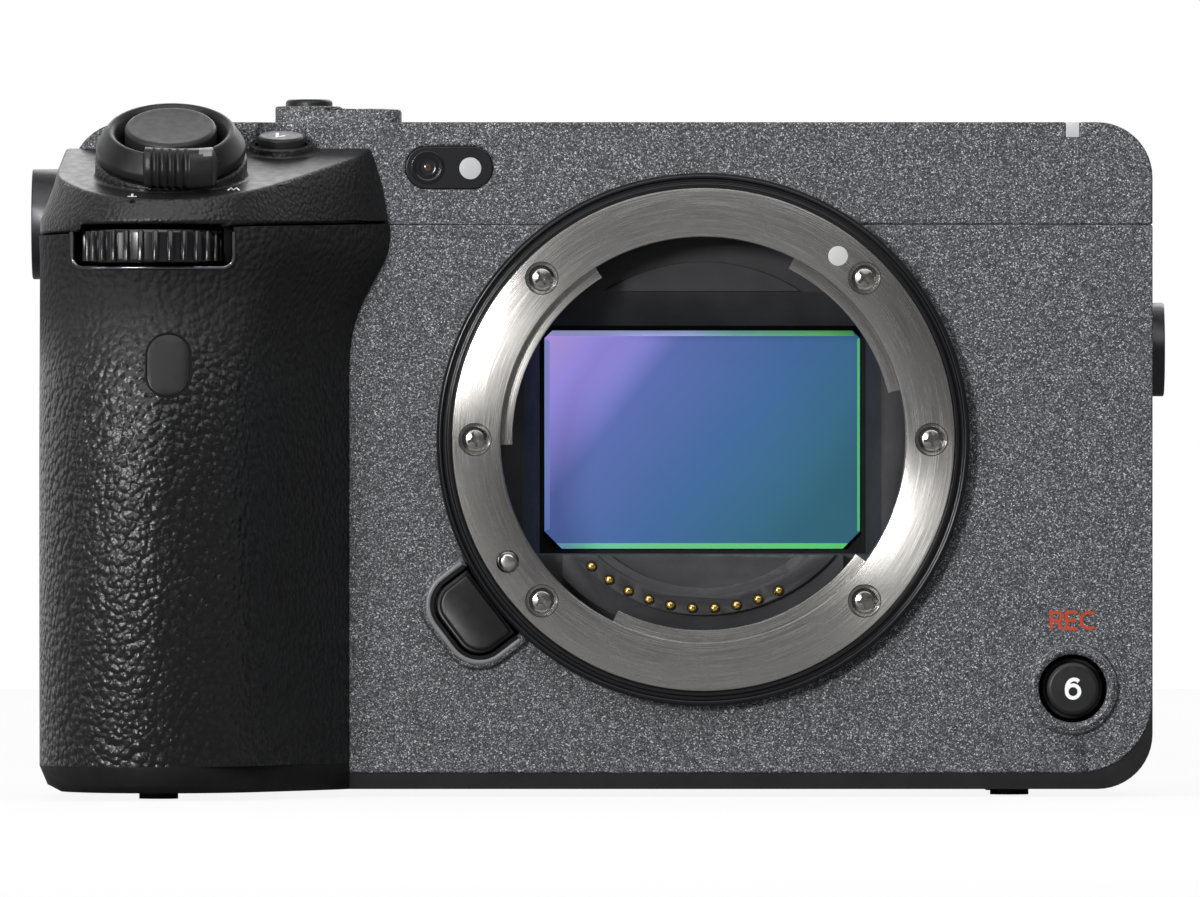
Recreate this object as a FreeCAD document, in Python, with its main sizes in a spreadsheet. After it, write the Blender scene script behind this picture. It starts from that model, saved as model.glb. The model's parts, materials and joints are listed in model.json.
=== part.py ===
import FreeCAD, Part
import math
import os
from types import SimpleNamespace
import Sketcher

Vector = FreeCAD.Vector
Rotation = FreeCAD.Rotation
Placement = FreeCAD.Placement

# Box-shaped cinema camera, in millimetres and degrees. The origin is the centre of the lens
# flange, +X points to the port side, +Y back to the monitor and +Z up.

sizes = {
    # outer case, measured from the mount axis and the flange face
    "case_right": 51.2,
    "case_left": 72.0,
    "case_top": 36.15,
    "case_bottom": 39.8,
    "face_depth": 3.2,
    "back_depth": 41.0,
    "wall": 1.8,
    "case_corner": 6.3,
    "base_corner": 8.5,
    "top_split": 24.5,
    "skirt_depth": 19.0,
    "skirt_wall": 3.6,
    "part_gap": 0.35,
    "foot_radius": 2.2,
    "foot_height": 0.7,
    "foot_left": 63.0,
    "foot_right": 35.0,
    "foot_front": 9.0,
    "foot_margin": 7.0,
    "grip_foot_left": 61.5,
    "grip_foot_front": 16.0,
    # lens mount
    "throat_radius": 23.05,
    "throat_relief": 0.45,
    "ring_radius": 28.6,
    "ring_thickness": 2.2,
    "ring_seat_radius": 27.2,
    "ring_chamfer": 0.3,
    "mount_gap": 0.05,
    "collar_radius": 30.35,
    "collar_height": 2.8,
    "collar_groove": 0.7,
    "tab_radius": 21.7,
    "tab_depth": 1.4,
    "tab_thickness": 1.3,
    "tab_a_start": 14.2,
    "tab_a_sweep": 49.2,
    "tab_b_start": 122.0,
    "tab_b_sweep": 59.5,
    "tab_c_start": 243.6,
    "tab_c_sweep": 79.5,
    "screw_circle": 25.95,
    "screw_head": 1.45,
    "screw_recess": 1.8,
    "screw_sink": 1.2,
    "screw_thickness": 1.0,
    "screw_shank": 0.95,
    "screw_length": 6.6,
    "pin_circle": 26.2,
    "pin_angle": 212.0,
    "pin_radius": 1.13,
    "pin_proud": 0.8,
    "pin_length": 8.4,
    "release_angle": 217.3,
    "release_width": 9.0,
    "release_reach": 36.1,
    "release_proud": 1.9,
    "release_thickness": 3.6,
    "release_corner": 2.8,
    "release_travel": 1.2,
    "release_lip": 1.3,
    "release_lip_height": 0.9,
    "contact_circle": 19.25,
    "contact_radius": 0.55,
    "contact_first": 228.7,
    "contact_step": 7.54,
    "contact_count": 10,
    "contact_depth": 3.7,
    "contact_travel": 0.6,
    "track_inner": 17.9,
    "track_outer": 20.0,
    "track_depth": 4.4,
    "block_depth": 5.1,
    "block_inner": 16.9,
    "block_outer": 22.4,
    "block_half": 16.0,
    "block_top": 13.1,
    # chassis, light box and shutter
    "chassis_half_width": 36.0,
    "chassis_half_height": 33.6,
    "chassis_thickness": 2.5,
    "chassis_corner": 5.0,
    "chassis_bore": 24.0,
    "light_box_depth": 3.5,
    "light_box_half_width": 25.5,
    "light_box_half_height": 24.6,
    "light_mouth_half": 20.4,
    "light_mouth_top": 16.8,
    "window_half_width": 18.2,
    "window_half_height": 12.6,
    "shutter_thickness": 4.7,
    "shutter_half_width": 22.6,
    "shutter_top": 15.6,
    "shutter_bottom": 25.4,
    "shutter_wall": 0.7,
    "blade_half_width": 20.3,
    "blade_height": 10.1,
    "blade_thickness": 0.3,
    "blade_pitch": 0.85,
    "blade_rest": 23.7,
    # stabilised sensor
    "sensor_gap": 0.4,
    "holder_thickness": 4.6,
    "holder_half_width": 23.0,
    "holder_half_height": 17.4,
    "glass_half_width": 18.9,
    "glass_half_height": 13.3,
    "glass_thickness": 0.8,
    "holder_lip": 0.7,
    "frame_thickness": 1.8,
    "frame_half_width": 26.0,
    "frame_half_height": 19.2,
    "frame_opening": 0.6,
    "base_half_width": 34.4,
    "base_half_height": 22.0,
    "base_thickness": 1.6,
    "post_radius": 1.7,
    "post_reach": 31.0,
    "post_height": 18.0,
    # board, heat sink and fan
    "board_left": 36.0,
    "board_right": 43.4,
    "board_top": 22.0,
    "board_bottom": 34.0,
    "board_thickness": 1.2,
    "board_gap": 0.4,
    "chip_size": 12.0,
    "chip_height": 1.2,
    "sink_left": 22.0,
    "sink_thickness": 1.2,
    "fin_height": 3.0,
    "fin_thickness": 0.8,
    "fin_pitch": 2.6,
    "fin_count": 13,
    "fan_centre": 30.0,
    "fan_radius": 11.6,
    "fan_shroud": 1.4,
    "fan_height": 6.0,
    "fan_hub": 5.0,
    "fan_room": 0.5,
    "fan_axle": 0.8,
    "fan_blades": 9,
    # grip
    "grip_split": 40.4,
    "grip_left": 75.2,
    "grip_front": 28.0,
    "grip_rear_wall": 0.7,
    "grip_shoulder": 8.8,
    "rubber": 1.2,
    "grip_base": 3.0,
    "seam_tilt": 2.2,
    "seam_height": 23.75,
    "seam_middle": 56.05,
    "deck_tilt": 13.4,
    "deck_height": 33.2,
    # battery, its door and latch
    "battery_width": 22.8,
    "battery_depth": 38.7,
    "battery_height": 51.7,
    "battery_left": 71.9,
    "battery_front": 10.0,
    "battery_gap": 0.4,
    "door_thickness": 1.5,
    "latch_width": 7.0,
    "latch_length": 4.0,
    "latch_travel": 2.0,
    "latch_depth": 1.0,
    "latch_proud": 0.3,
    "battery_corner": 1.5,
    # front dial
    "dial_centre": 62.05,
    "dial_back": 17.4,
    "dial_bottom": 19.9,
    "dial_thickness": 3.7,
    "dial_radius": 8.0,
    "dial_ribs": 29,
    "dial_groove": 0.5,
    "dial_axle": 1.5,
    "dial_clearance": 0.6,
    "slot_half": 9.1,
    "running_gap": 0.05,
    # shutter button and zoom lever
    "shutter_tilt": 26.0,
    "shutter_centre": 60.2,
    "shutter_front": 14.0,
    "shutter_rise": 2.2,
    "shutter_radius": 5.2,
    "shutter_button_height": 2.6,
    "shutter_stem": 2.4,
    "shutter_stem_length": 3.4,
    "shutter_travel": 1.2,
    "lever_radius": 8.45,
    "lever_rim": 7.15,
    "lever_height": 3.0,
    "lever_bowl": 5.6,
    "lever_drop": 0.4,
    "lever_tab_reach": 9.9,
    "lever_tab_width": 9.0,
    "lever_tab_offset": 1.3,
    "lever_tab_height": 2.6,
    "pedestal_radius": 8.6,
    "pedestal_length": 5.0,
    # button on the grip deck
    "deck_key_centre": 47.98,
    "deck_key_back": 1.0,
    "deck_key_radius": 2.65,
    "deck_ring_radius": 3.65,
    "deck_ring_height": 1.1,
    "deck_key_proud": 0.9,
    "deck_key_depth": 3.4,
    # record button on the front
    "record_right": 42.1,
    "record_below": 28.35,
    "record_radius": 3.0,
    "record_hole": 3.9,
    "record_ring": 5.17,
    "record_ring_height": 0.6,
    "record_proud": 0.7,
    # windows and lamp
    "window_left": 28.9,
    "window_up": 30.96,
    "window_length": 10.0,
    "window_height": 4.9,
    "window_sink": 0.25,
    "window_thickness": 1.4,
    "oval_left": 60.2,
    "oval_up": 8.3,
    "oval_width": 4.9,
    "oval_height": 7.1,
    "oval_thickness": 4.8,
    "lamp_right": 42.1,
    "lamp_width": 1.56,
    "lamp_drop": 1.75,
    "lamp_depth": 2.4,
    # raised platform with its two buttons
    "platform_left": 49.0,
    "platform_step": 41.4,
    "platform_right": 34.6,
    "platform_front": 18.0,
    "platform_depth": 13.0,
    "platform_high": 2.1,
    "platform_low": 1.75,
    "platform_corner": 2.0,
    "top_key_left": 45.2,
    "top_key_radius": 2.7,
    "top_key_proud": 0.9,
    "top_record_left": 37.9,
    "top_record_radius": 2.4,
    "top_record_proud": 0.15,
    # accessory shoe
    "shoe_half": 10.2,
    "shoe_front": 12.2,
    "shoe_floor": 4.4,
    "shoe_rail": 1.5,
    "shoe_plate": 0.5,
    "shoe_gap_half": 6.25,
    "shoe_slot_half": 9.35,
    # threaded inserts
    "thread_radius": 2.55,
    "insert_radius": 4.2,
    "insert_depth": 6.0,
    "insert_front": 13.5,
    "insert_margin": 8.0,
    "insert_left": 24.0,
    "insert_right": 31.0,
    "tripod_depth": 20.0,
    "port_boss_radius": 5.4,
    "port_boss_proud": 1.55,
    "port_boss_depth": 12.6,
    "port_boss_height": 10.3,
    "grip_boss_radius": 6.35,
    "grip_boss_proud": 1.3,
    "grip_boss_depth": 9.0,
    "grip_boss_height": 24.6,
    "boss_length": 7.5,
    # port side
    "vent_bottom": 6.5,
    "vent_count": 7,
    "vent_pitch": 2.3,
    "vent_height": 1.2,
    "port_inset": 3.0,
    "port_margin": 3.6,
    "audio_top": 3.6,
    "audio_bottom": 11.0,
    "data_top": 13.0,
    "data_bottom": 28.6,
    "door_gap": 0.3,
    "socket_depth": 5.4,
    "socket_inset": 0.5,
    "socket_floor": 0.4,
    "jack_radius": 1.75,
    "jack_share": 0.26,
    "wide_share": 0.448,
    "wide_height": 4.6,
    "wide_below": 20.6,
    "narrow_share": 0.292,
    "narrow_height": 3.2,
    "narrow_below": 26.6,
    # card side
    "card_gap": 1.5,
    "card_margin": 2.2,
    "card_top": 6.5,
    "card_bottom": 24.5,
    "reader_width": 23.6,
    "reader_slot": 0.29,
    "hinge_pin": 0.35,
    # rear controls
    "panel_right": 29.5,
    "panel_depth": 5.0,
    "panel_wall": 2.4,
    "panel_corner": 2.0,
    "wheel_left": 50.5,
    "wheel_below": 9.0,
    "wheel_radius": 10.5,
    "wheel_pocket": 1.3,
    "wheel_proud": 1.0,
    "wheel_ribs": 36,
    "bush_radius": 4.5,
    "centre_key_radius": 3.8,
    "rear_key_radius": 2.5,
    "rear_key_proud": 0.8,
    "key_lip": 0.5,
    "key_flange": 0.6,
    "key_chamfer": 0.3,
    "menu_left": 35.0,
    "menu_up": 19.2,
    "play_left": 37.0,
    "play_below": 25.0,
    "focus_left": 60.5,
    "focus_up": 19.0,
    "stick_left": 47.0,
    "stick_up": 13.0,
    "stick_hole": 4.4,
    "gimbal_radius": 4.0,
    "gimbal_bore": 2.6,
    "gimbal_thickness": 1.4,
    "stick_stem": 1.8,
    "stick_cap": 4.0,
    "stick_cap_height": 1.6,
    "stick_clear": 1.0,
    "stick_pivot": 0.4,
    "rear_dial_left": 60.0,
    "rear_dial_inset": 4.6,
    "rear_dial_bottom": 28.8,
    "rear_dial_thickness": 4.0,
    "rear_dial_radius": 8.0,
    "switch_left": 61.0,
    "switch_inset": 12.5,
    "switch_width": 5.0,
    "switch_depth": 4.0,
    "switch_travel": 4.0,
    "switch_proud": 1.6,
    "switch_flange": 0.8,
    # monitor
    "hinge_right": 48.0,
    "hinge_proud": 4.0,
    "knuckle_radius": 3.2,
    "bracket_top": 12.0,
    "bracket_bottom": 24.0,
    "bracket_reach": 5.6,
    "monitor_left": 27.0,
    "monitor_top": 20.0,
    "monitor_bottom": 32.0,
    "monitor_front": 0.6,
    "monitor_thickness": 7.7,
    "monitor_corner": 2.5,
    "screen_border": 3.0,
    "screen_thickness": 0.8,
    "tilt_shaft": 2.0,
    "shaft_length": 4.0,
}


# The sheet of sizes and numbers that carry their own formula

class Size:
    def __init__(self, value, formula):
        self.value = float(value)
        self.formula = formula

    def __add__(self, other):
        return Size(self.value + value(other), f"({self.formula} + {formula(other)})")

    def __sub__(self, other):
        return Size(self.value - value(other), f"({self.formula} - {formula(other)})")

    def __mul__(self, other):
        return Size(self.value * value(other), f"({self.formula} * {formula(other)})")

    def __truediv__(self, other):
        return Size(self.value / value(other), f"({self.formula} / {formula(other)})")

    def __neg__(self):
        return Size(-self.value, f"(0 - {self.formula})")

    def __radd__(self, other):
        return Size(other, str(other)) + self

    def __rsub__(self, other):
        return Size(other, str(other)) - self

    def __rmul__(self, other):
        return Size(other, str(other)) * self


def value(number):
    return number.value if isinstance(number, Size) else float(number)


def formula(number):
    return number.formula if isinstance(number, Size) else f"({number})"


def sine(angle):
    return Size(math.sin(math.radians(value(angle))), f"sin({formula(angle)})")


def cosine(angle):
    return Size(math.cos(math.radians(value(angle))), f"cos({formula(angle)})")


doc = FreeCAD.newDocument("CinemaCamera")
sheet = doc.addObject("Spreadsheet::Sheet", "Sizes")
size = SimpleNamespace()
for row, (name, number) in enumerate(sizes.items(), 1):
    sheet.set(f"A{row}", name)
    sheet.set(f"B{row}", str(number))
    sheet.setAlias(f"B{row}", name)
    setattr(size, name, Size(number, "Sizes." + name))
doc.recompute()


# Building blocks shared by the sub-parts

X_AXIS = Vector(1, 0, 0)
Y_AXIS = Vector(0, 1, 0)
Z_AXIS = Vector(0, 0, 1)
ALONG_X = (Y_AXIS, 90)
ALONG_Y = (X_AXIS, -90)
ALONG_Z = (Z_AXIS, 0)
TO_FRONT = (X_AXIS, 90)

# smallest step used to tell one edge from the next
LEDGE = 0.1

SCREW_ANGLES = (0, 45, 135, 180, 225, 315)

# shares of the reader's depth where the two card slots lie
CARD_SLOTS = (0.29, 0.71)

nodes = {}


def bind(item, prop, number):
    item.setExpression(prop, formula(number))


def place(item, point, turn=ALONG_Z):
    axis, angle = turn
    item.Placement = Placement(Vector(0, 0, 0), Rotation(axis, value(angle)))
    for letter, number in zip("xyz", point):
        bind(item, "Placement.Base." + letter, number)
    if isinstance(angle, Size):
        bind(item, "Placement.Rotation.Angle", angle)
    return item


def block(x, y, z):
    item = doc.addObject("Part::Box", "Block")
    for prop, (low, high) in zip(("Length", "Width", "Height"), (x, y, z)):
        bind(item, prop, high - low)
    return place(item, (x[0], y[0], z[0]))


def rod(radius, point, length, turn=ALONG_Z):
    item = doc.addObject("Part::Cylinder", "Rod")
    bind(item, "Radius", radius)
    bind(item, "Height", length)
    return place(item, point, turn)


def fuse(*items):
    item = doc.addObject("Part::MultiFuse", "Fuse")
    item.Shapes = list(items)
    item.Refine = True
    return item


def cut(base, *tools):
    item = doc.addObject("Part::Cut", "Cut")
    item.Base = base
    item.Tool = tools[0] if len(tools) == 1 else fuse(*tools)
    return item


def common(first, second):
    item = doc.addObject("Part::Common", "Common")
    item.Base = first
    item.Tool = second
    return item


def together(*items):
    item = doc.addObject("Part::Compound", "Group")
    item.Links = list(items)
    return item


def tube(outer, inner, point, length, turn=ALONG_Z):
    return cut(rod(outer, point, length, turn), rod(inner, point, length, turn))


def soften(base, radius, pick):
    base.recompute(True)
    item = doc.addObject("Part::Fillet", "Soften")
    item.Base = base
    chosen = [number for number, edge in enumerate(base.Shape.Edges, 1) if pick(edge)]
    item.Edges = [(number, value(radius), value(radius)) for number in chosen]
    return item


def runs_along(edge, axis):
    if len(edge.Vertexes) < 2 or edge.Curve.TypeId != "Part::GeomLine":
        return False
    return abs(abs(edge.Curve.Direction.dot(axis)) - 1) < 1e-6


def rounded(x, y, z, radius, axis):
    return soften(block(x, y, z), radius, lambda edge: runs_along(edge, axis))


def outline(body, role, points):
    sketch = body.newObject("Sketcher::SketchObject", "Outline")
    plane = [part for part in body.Origin.OriginFeatures if part.Role == role][0]
    sketch.AttachmentSupport = [(plane, "")]
    sketch.MapMode = "FlatFace"
    count = len(points)
    places = [Vector(value(across), value(up), 0) for across, up in points]
    for number in range(count):
        sketch.addGeometry(Part.LineSegment(places[number], places[(number + 1) % count]), False)
    for number in range(count):
        following = (number + 1) % count
        sketch.addConstraint(Sketcher.Constraint("Coincident", number, 2, following, 1))
    for number, (across, up) in enumerate(points):
        for kind, distance in (("DistanceX", across), ("DistanceY", up)):
            label = Sketcher.Constraint(kind, -1, 1, number, 1, value(distance))
            index = sketch.addConstraint(label)
            if isinstance(distance, Size):
                sketch.setExpression(f"Constraints[{index}]", formula(distance))
    return sketch


def turned(points, point, turn=ALONG_Z):
    body = doc.addObject("PartDesign::Body", "Turned")
    spin = body.newObject("PartDesign::Revolution", "Turn")
    spin.Profile = outline(body, "XZ_Plane", points)
    spin.ReferenceAxis = (spin.Profile[0], ["V_Axis"])
    spin.Angle = 360
    return place(body, point, turn)


def ribbed(radius, thickness, bore, groove, count, point, turn=ALONG_Z):
    body = doc.addObject("PartDesign::Body", "Ribbed")
    sketches = []
    for circles in (((0, radius), (0, bore)), ((radius + groove * 0.25, groove),)):
        sketch = body.newObject("Sketcher::SketchObject", "Circles")
        plane = [part for part in body.Origin.OriginFeatures if part.Role == "XY_Plane"][0]
        sketch.AttachmentSupport = [(plane, "")]
        sketch.MapMode = "FlatFace"
        for across, reach in circles:
            circle = Part.Circle(Vector(value(across), 0, 0), Z_AXIS, value(reach))
            index = sketch.addGeometry(circle, False)
            limits = (("Radius", (index, value(reach)), reach),
                      ("DistanceX", (-1, 1, index, 3, value(across)), across),
                      ("DistanceY", (-1, 1, index, 3, 0.0), 0))
            for kind, where, distance in limits:
                number = sketch.addConstraint(Sketcher.Constraint(kind, *where))
                if isinstance(distance, Size):
                    sketch.setExpression(f"Constraints[{number}]", formula(distance))
        sketches.append(sketch)
    disc = body.newObject("PartDesign::Pad", "Disc")
    disc.Profile = sketches[0]
    bind(disc, "Length", thickness)
    body.recompute(True)
    notch = body.newObject("PartDesign::Pocket", "Notch")
    notch.Profile = sketches[1]
    notch.Type = 1
    notch.Reversed = True
    body.recompute(True)
    ring = body.newObject("PartDesign::PolarPattern", "Notches")
    ring.Originals = [notch]
    ring.Axis = (sketches[1], ["N_Axis"])
    ring.Angle = 360
    bind(ring, "Occurrences", count)
    body.Tip = ring
    return place(body, point, turn)


def key(radius, proud, depth, point, turn):
    low = -depth - size.part_gap - size.key_flange
    seat = -depth - size.part_gap
    profile = [(0, low), (radius + size.key_lip, low), (radius + size.key_lip, seat), (radius, seat),
               (radius, proud - size.key_chamfer), (radius - size.key_chamfer, proud), (0, proud)]
    return turned(profile, point, turn)


def around(item, angle):
    item.Placement = Placement(Vector(0, 0, 0), Rotation(Y_AXIS, -value(angle)))
    bind(item, "Placement.Rotation.Angle", -angle)
    return item


def keep(item, name):
    item.Label = name
    nodes[name] = item
    return item


def on_circle(radius, angle):
    return radius * cosine(angle), radius * sine(angle)


# Values that several sub-parts share

wall = size.wall
gap = size.part_gap
right = size.case_right
left = -size.case_left
top = size.case_top
bottom = -size.case_bottom
face = size.face_depth
back = size.back_depth
floor = bottom + wall
split = size.top_split
grip_edge = -size.grip_split
oval_back = size.grip_front - size.oval_thickness
inner_face = face + wall
inner_back = back - wall
far = Size(200.0, "200")
past = Size(1.0, "1")
chassis_back = inner_face + size.chassis_thickness
light_back = chassis_back + size.light_box_depth
shutter_back = light_back + size.shutter_thickness
window_width = size.window_half_width + size.sensor_gap
window_height = size.window_half_height + size.sensor_gap
holder_front = shutter_back + size.sensor_gap
holder_back = holder_front + size.holder_thickness
frame_front = holder_back + size.sensor_gap
frame_back = frame_front + size.frame_thickness
base_front = frame_back + size.sensor_gap
base_back = base_front + size.base_thickness
board_front = base_back + size.board_gap
board_back = board_front + size.board_thickness
sink_front = board_back + size.chip_height
sink_back = sink_front + size.sink_thickness
panel_face = back + size.panel_depth
panel_inner = panel_face - size.panel_wall
battery_back = size.battery_depth - size.battery_front
battery_right = size.battery_width - size.battery_left
grip_back = battery_back + size.grip_rear_wall
card_front = battery_back + size.card_gap
card_back = back - size.card_margin
port_back = back - size.port_margin
port_front = size.skirt_depth + size.port_inset
port_length = port_back - port_front
shutter_height = size.deck_height + size.shutter_rise
rear_dial_depth = back - size.rear_dial_inset
switch_front = back - size.switch_inset
hinge_depth = back + size.hinge_proud
door_thickness = wall - size.door_gap
pivot_depth = panel_face - size.panel_wall / 2
battery_hinge = battery_right + size.battery_gap - size.door_gap - size.door_thickness / 2


# The case: one rounded shell, divided into its covers

def case_solid(inset):
    solid = block((left + inset, right - inset), (face + inset, back - inset),
                  (bottom + inset, top - inset))
    return soften(solid, size.case_corner - inset, lambda edge: runs_along(edge, Y_AXIS))


def upper_solid():
    solid = block((left, right), (face, back), (floor, top))
    low = soften(solid, size.base_corner,
                 lambda edge: runs_along(edge, Y_AXIS) and edge.CenterOfMass.z < 0)
    return soften(low, size.case_corner,
                  lambda edge: runs_along(edge, Y_AXIS) and edge.CenterOfMass.z > value(split))


case_shell = cut(case_solid(0), case_solid(wall))
upper_shape = upper_solid()
upper_shell = common(case_shell, upper_shape)


def release_shape(grow, low, high, corner):
    half = size.release_width / 2 + grow
    start = size.ring_seat_radius
    solid = block((start, size.release_reach + grow), (low, high), (-half, half))
    shape = soften(solid, corner, lambda edge: runs_along(edge, Y_AXIS)
                   and edge.CenterOfMass.x > value(start) + 1)
    return around(shape, size.release_angle)


def mount_rod(radius, low, high):
    return rod(radius, (0, low, 0), high - low, ALONG_Y)


def front_cover():
    area = block((grip_edge, right), (face, size.skirt_depth), (floor, split))
    shell = common(upper_shell, area)
    lip_front = face - size.release_lip_height
    lip = release_shape(gap + size.release_lip, lip_front, face + wall / 2,
                        size.release_corner + size.release_lip)
    ring = rod(size.record_ring, (size.record_right, face - size.record_ring_height,
                                  -size.record_below), wall, ALONG_Y)
    whole = fuse(shell, lip, ring)
    release = release_shape(gap, lip_front - past, inner_face + past, size.release_corner)
    record = rod(size.record_hole, (size.record_right, 0, -size.record_below), inner_face + past,
                 ALONG_Y)
    boss = rod(size.port_boss_radius, (right - size.skirt_wall, size.port_boss_depth,
                                       size.port_boss_height), size.skirt_wall + past, ALONG_X)
    mouth = mount_rod(size.ring_radius + size.mount_gap, 0, inner_face + past)
    collar = mount_rod(size.collar_radius, 0, face)
    keep(cut(whole, mouth, collar, release, record, boss), "front_cover")


def capsule(length, height, low, high, centre_x, centre_z):
    half = height / 2
    reach = length / 2 - half
    middle = block((centre_x - reach, centre_x + reach), (low, high),
                   (centre_z - half, centre_z + half))
    ends = [rod(half, (centre_x + side * reach, low, centre_z), high - low, ALONG_Y)
            for side in (-1, 1)]
    return fuse(middle, *ends)


def insert_places():
    near = size.insert_front
    away = back - size.insert_margin
    return ((-size.insert_left, near), (size.insert_right, near), (size.insert_right, away))


def platform():
    near = size.platform_front
    away = near + size.platform_depth
    tall = rounded((-size.platform_left, -size.platform_step), (near, away),
                   (top - wall / 2, top + size.platform_high), size.platform_corner, Z_AXIS)
    low = rounded((-size.platform_step - 2 * size.platform_corner, -size.platform_right),
                  (near, away), (top - wall / 2, top + size.platform_low),
                  size.platform_corner, Z_AXIS)
    return fuse(tall, low)


def top_cover():
    shell = common(upper_shell, block((left, right), (face, back), (split, top)))
    tray = block((-size.shoe_half - wall, size.shoe_half + wall), (size.shoe_front - wall, back),
                 (top - size.shoe_floor - wall, top))
    post = rod(size.dial_axle, (-size.rear_dial_left, rear_dial_depth, size.rear_dial_bottom),
               top - wall / 2 - size.rear_dial_bottom)
    solid = fuse(shell, tray, platform(), post)
    shoe = block((-size.shoe_half, size.shoe_half), (size.shoe_front, back + past),
                 (top - size.shoe_floor, top + past))
    window = capsule(size.window_length, size.window_height, face - past, inner_face + past,
                     -size.window_left, size.window_up)
    half = size.lamp_width / 2
    lamp = block((size.lamp_right - half, size.lamp_right + half),
                 (face - past, face + size.lamp_depth), (top - size.lamp_drop, top + past))
    threads = [rod(size.insert_radius, (x, y, top - wall - past), wall + 2 * past)
               for x, y in insert_places()]
    middle = size.platform_front + size.platform_depth / 2
    keys = [rod(radius + gap, (-across, middle, top - wall - past),
                wall + size.platform_high + 2 * past)
            for radius, across in ((size.top_key_radius, size.top_key_left),
                                   (size.top_record_radius, size.top_record_left))]
    dial = cut(rod(size.rear_dial_radius + size.dial_clearance,
                   (-size.rear_dial_left, rear_dial_depth,
                    size.rear_dial_bottom - size.dial_clearance),
                   size.rear_dial_thickness + 2 * size.dial_clearance),
               block((left, right), (0, inner_back), (split, top)))
    switch = block((-size.switch_left - gap, -size.switch_left + size.switch_width
                    + size.switch_travel + gap),
                   (switch_front - gap, switch_front + size.switch_depth + gap),
                   (top - wall - past, top + past))
    notch = deck_rod(size.deck_ring_radius + gap, -size.deck_key_depth, 2 * size.deck_key_depth)
    mouth = mount_rod(size.ring_radius + size.mount_gap, 0, inner_face + past)
    collar = mount_rod(size.collar_radius, 0, face)
    keep(cut(solid, shoe, window, lamp, dial, switch, notch, mouth, collar, grip_boss_hole(),
             *threads, *keys), "top_cover")


def port_heights():
    return ((-size.audio_bottom, size.audio_top), (-size.data_bottom, -size.data_top))


def side_cover():
    area = block((right - 2 * wall, right), (size.skirt_depth, inner_back), (floor, split))
    shell = common(upper_shell, area)
    across = (right - 2 * wall, right + past)
    slots = []
    for number in range(int(value(size.vent_count))):
        low = size.vent_bottom + size.vent_pitch * number
        slots.append(block(across, (port_front, port_back), (low, low + size.vent_height)))
    doors = [block(across, (port_front, port_back), heights) for heights in port_heights()]
    pins = [hinge_rod(size.hinge_pin, right - door_thickness / 2, port_back, heights)
            for heights in port_heights()]
    keep(fuse(cut(shell, *slots, *doors), *pins), "side_cover")


def hinge_rod(radius, x, edge, heights):
    low, high = heights
    return rod(radius, (x, edge - size.door_gap - door_thickness / 2, low), high - low)


def swing_door(x, span, heights):
    front, edge = span
    low, high = heights
    inner = (low + size.door_gap, high - size.door_gap)
    half = door_thickness / 2
    axis = edge - size.door_gap - half
    plate = block((x - half, x + half), (front + size.door_gap, axis), inner)
    barrel = hinge_rod(half, x, edge, inner)
    return cut(fuse(plate, barrel), hinge_rod(size.hinge_pin + size.running_gap, x, edge, heights))


def rear_cover():
    plate = common(upper_shell, block((-size.panel_right, right), (inner_back, back),
                                      (floor, split)))
    corner = common(upper_shell, block((left, -size.panel_right), (grip_back, back),
                                       (floor, split)))
    raised = soften(block((left, -size.panel_right), (back, panel_face), (floor, split)),
                    size.base_corner, lambda edge: runs_along(edge, Y_AXIS)
                    and edge.CenterOfMass.z < 0 and edge.CenterOfMass.x < value(left) + 1)
    raised = soften(raised, size.panel_corner,
                    lambda edge: edge.CenterOfMass.y > value(panel_face) - LEDGE)
    solid = fuse(plate, corner, raised)
    across = (left + wall, -size.panel_right - wall)
    hollow = block(across, (grip_back - past, back), (floor + wall, split + past))
    pocket = block(across, (inner_back, panel_inner), (floor + wall, split - wall))
    heights = (-size.card_bottom, size.card_top)
    card = block((left - past, left + wall + past), (card_front, card_back), heights)
    through = size.panel_wall + size.wheel_proud + 2 * past
    wheel = rod(size.wheel_radius + gap, (-size.wheel_left, panel_face - size.wheel_pocket,
                                          -size.wheel_below), through, ALONG_Y)
    holes = [rod(radius + gap, (-across, panel_inner - past, up), through, ALONG_Y)
             for radius, across, up in rear_keys().values()]
    stick = rod(size.stick_hole, (-size.stick_left, panel_inner - past, size.stick_up), through,
                ALONG_Y)
    pivot = pivot_rod(size.stick_pivot + size.running_gap, size.stick_hole + size.stick_pivot * 2,
                      ALONG_Z)
    bush = rod(size.bush_radius, (-size.wheel_left, panel_inner, -size.wheel_below),
               size.panel_wall + size.wheel_proud - gap, ALONG_Y)
    pin = hinge_rod(size.hinge_pin, left + door_thickness / 2, card_back, heights)
    shell = fuse(cut(solid, hollow, pocket, card, wheel), bush, pin)
    keep(cut(shell, stick, pivot, *holes), "rear_cover")


def pivot_rod(radius, reach, turn):
    x = -size.stick_left
    z = size.stick_up
    if turn is ALONG_X:
        return rod(radius, (x - reach, pivot_depth, z), 2 * reach, turn)
    return rod(radius, (x, pivot_depth, z - reach), 2 * reach, turn)


def rear_keys():
    return {
        "menu_button": (size.rear_key_radius, size.menu_left, size.menu_up),
        "playback_button": (size.rear_key_radius, size.play_left, -size.play_below),
        "focus_button": (size.rear_key_radius, size.focus_left, size.focus_up),
        "centre_button": (size.centre_key_radius, size.wheel_left, -size.wheel_below),
    }


# The grip: smooth sections, joined from the base to the deck

# share of the width from the outer side and share of the depth, along the front of a section
FRONT_CURVE = ((0.868, 0.343), (0.71, 0.68), (0.58, 0.888), (0.379, 1.0), (0.164, 0.92),
               (0.029, 0.663), (0.0, 0.36))

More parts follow.
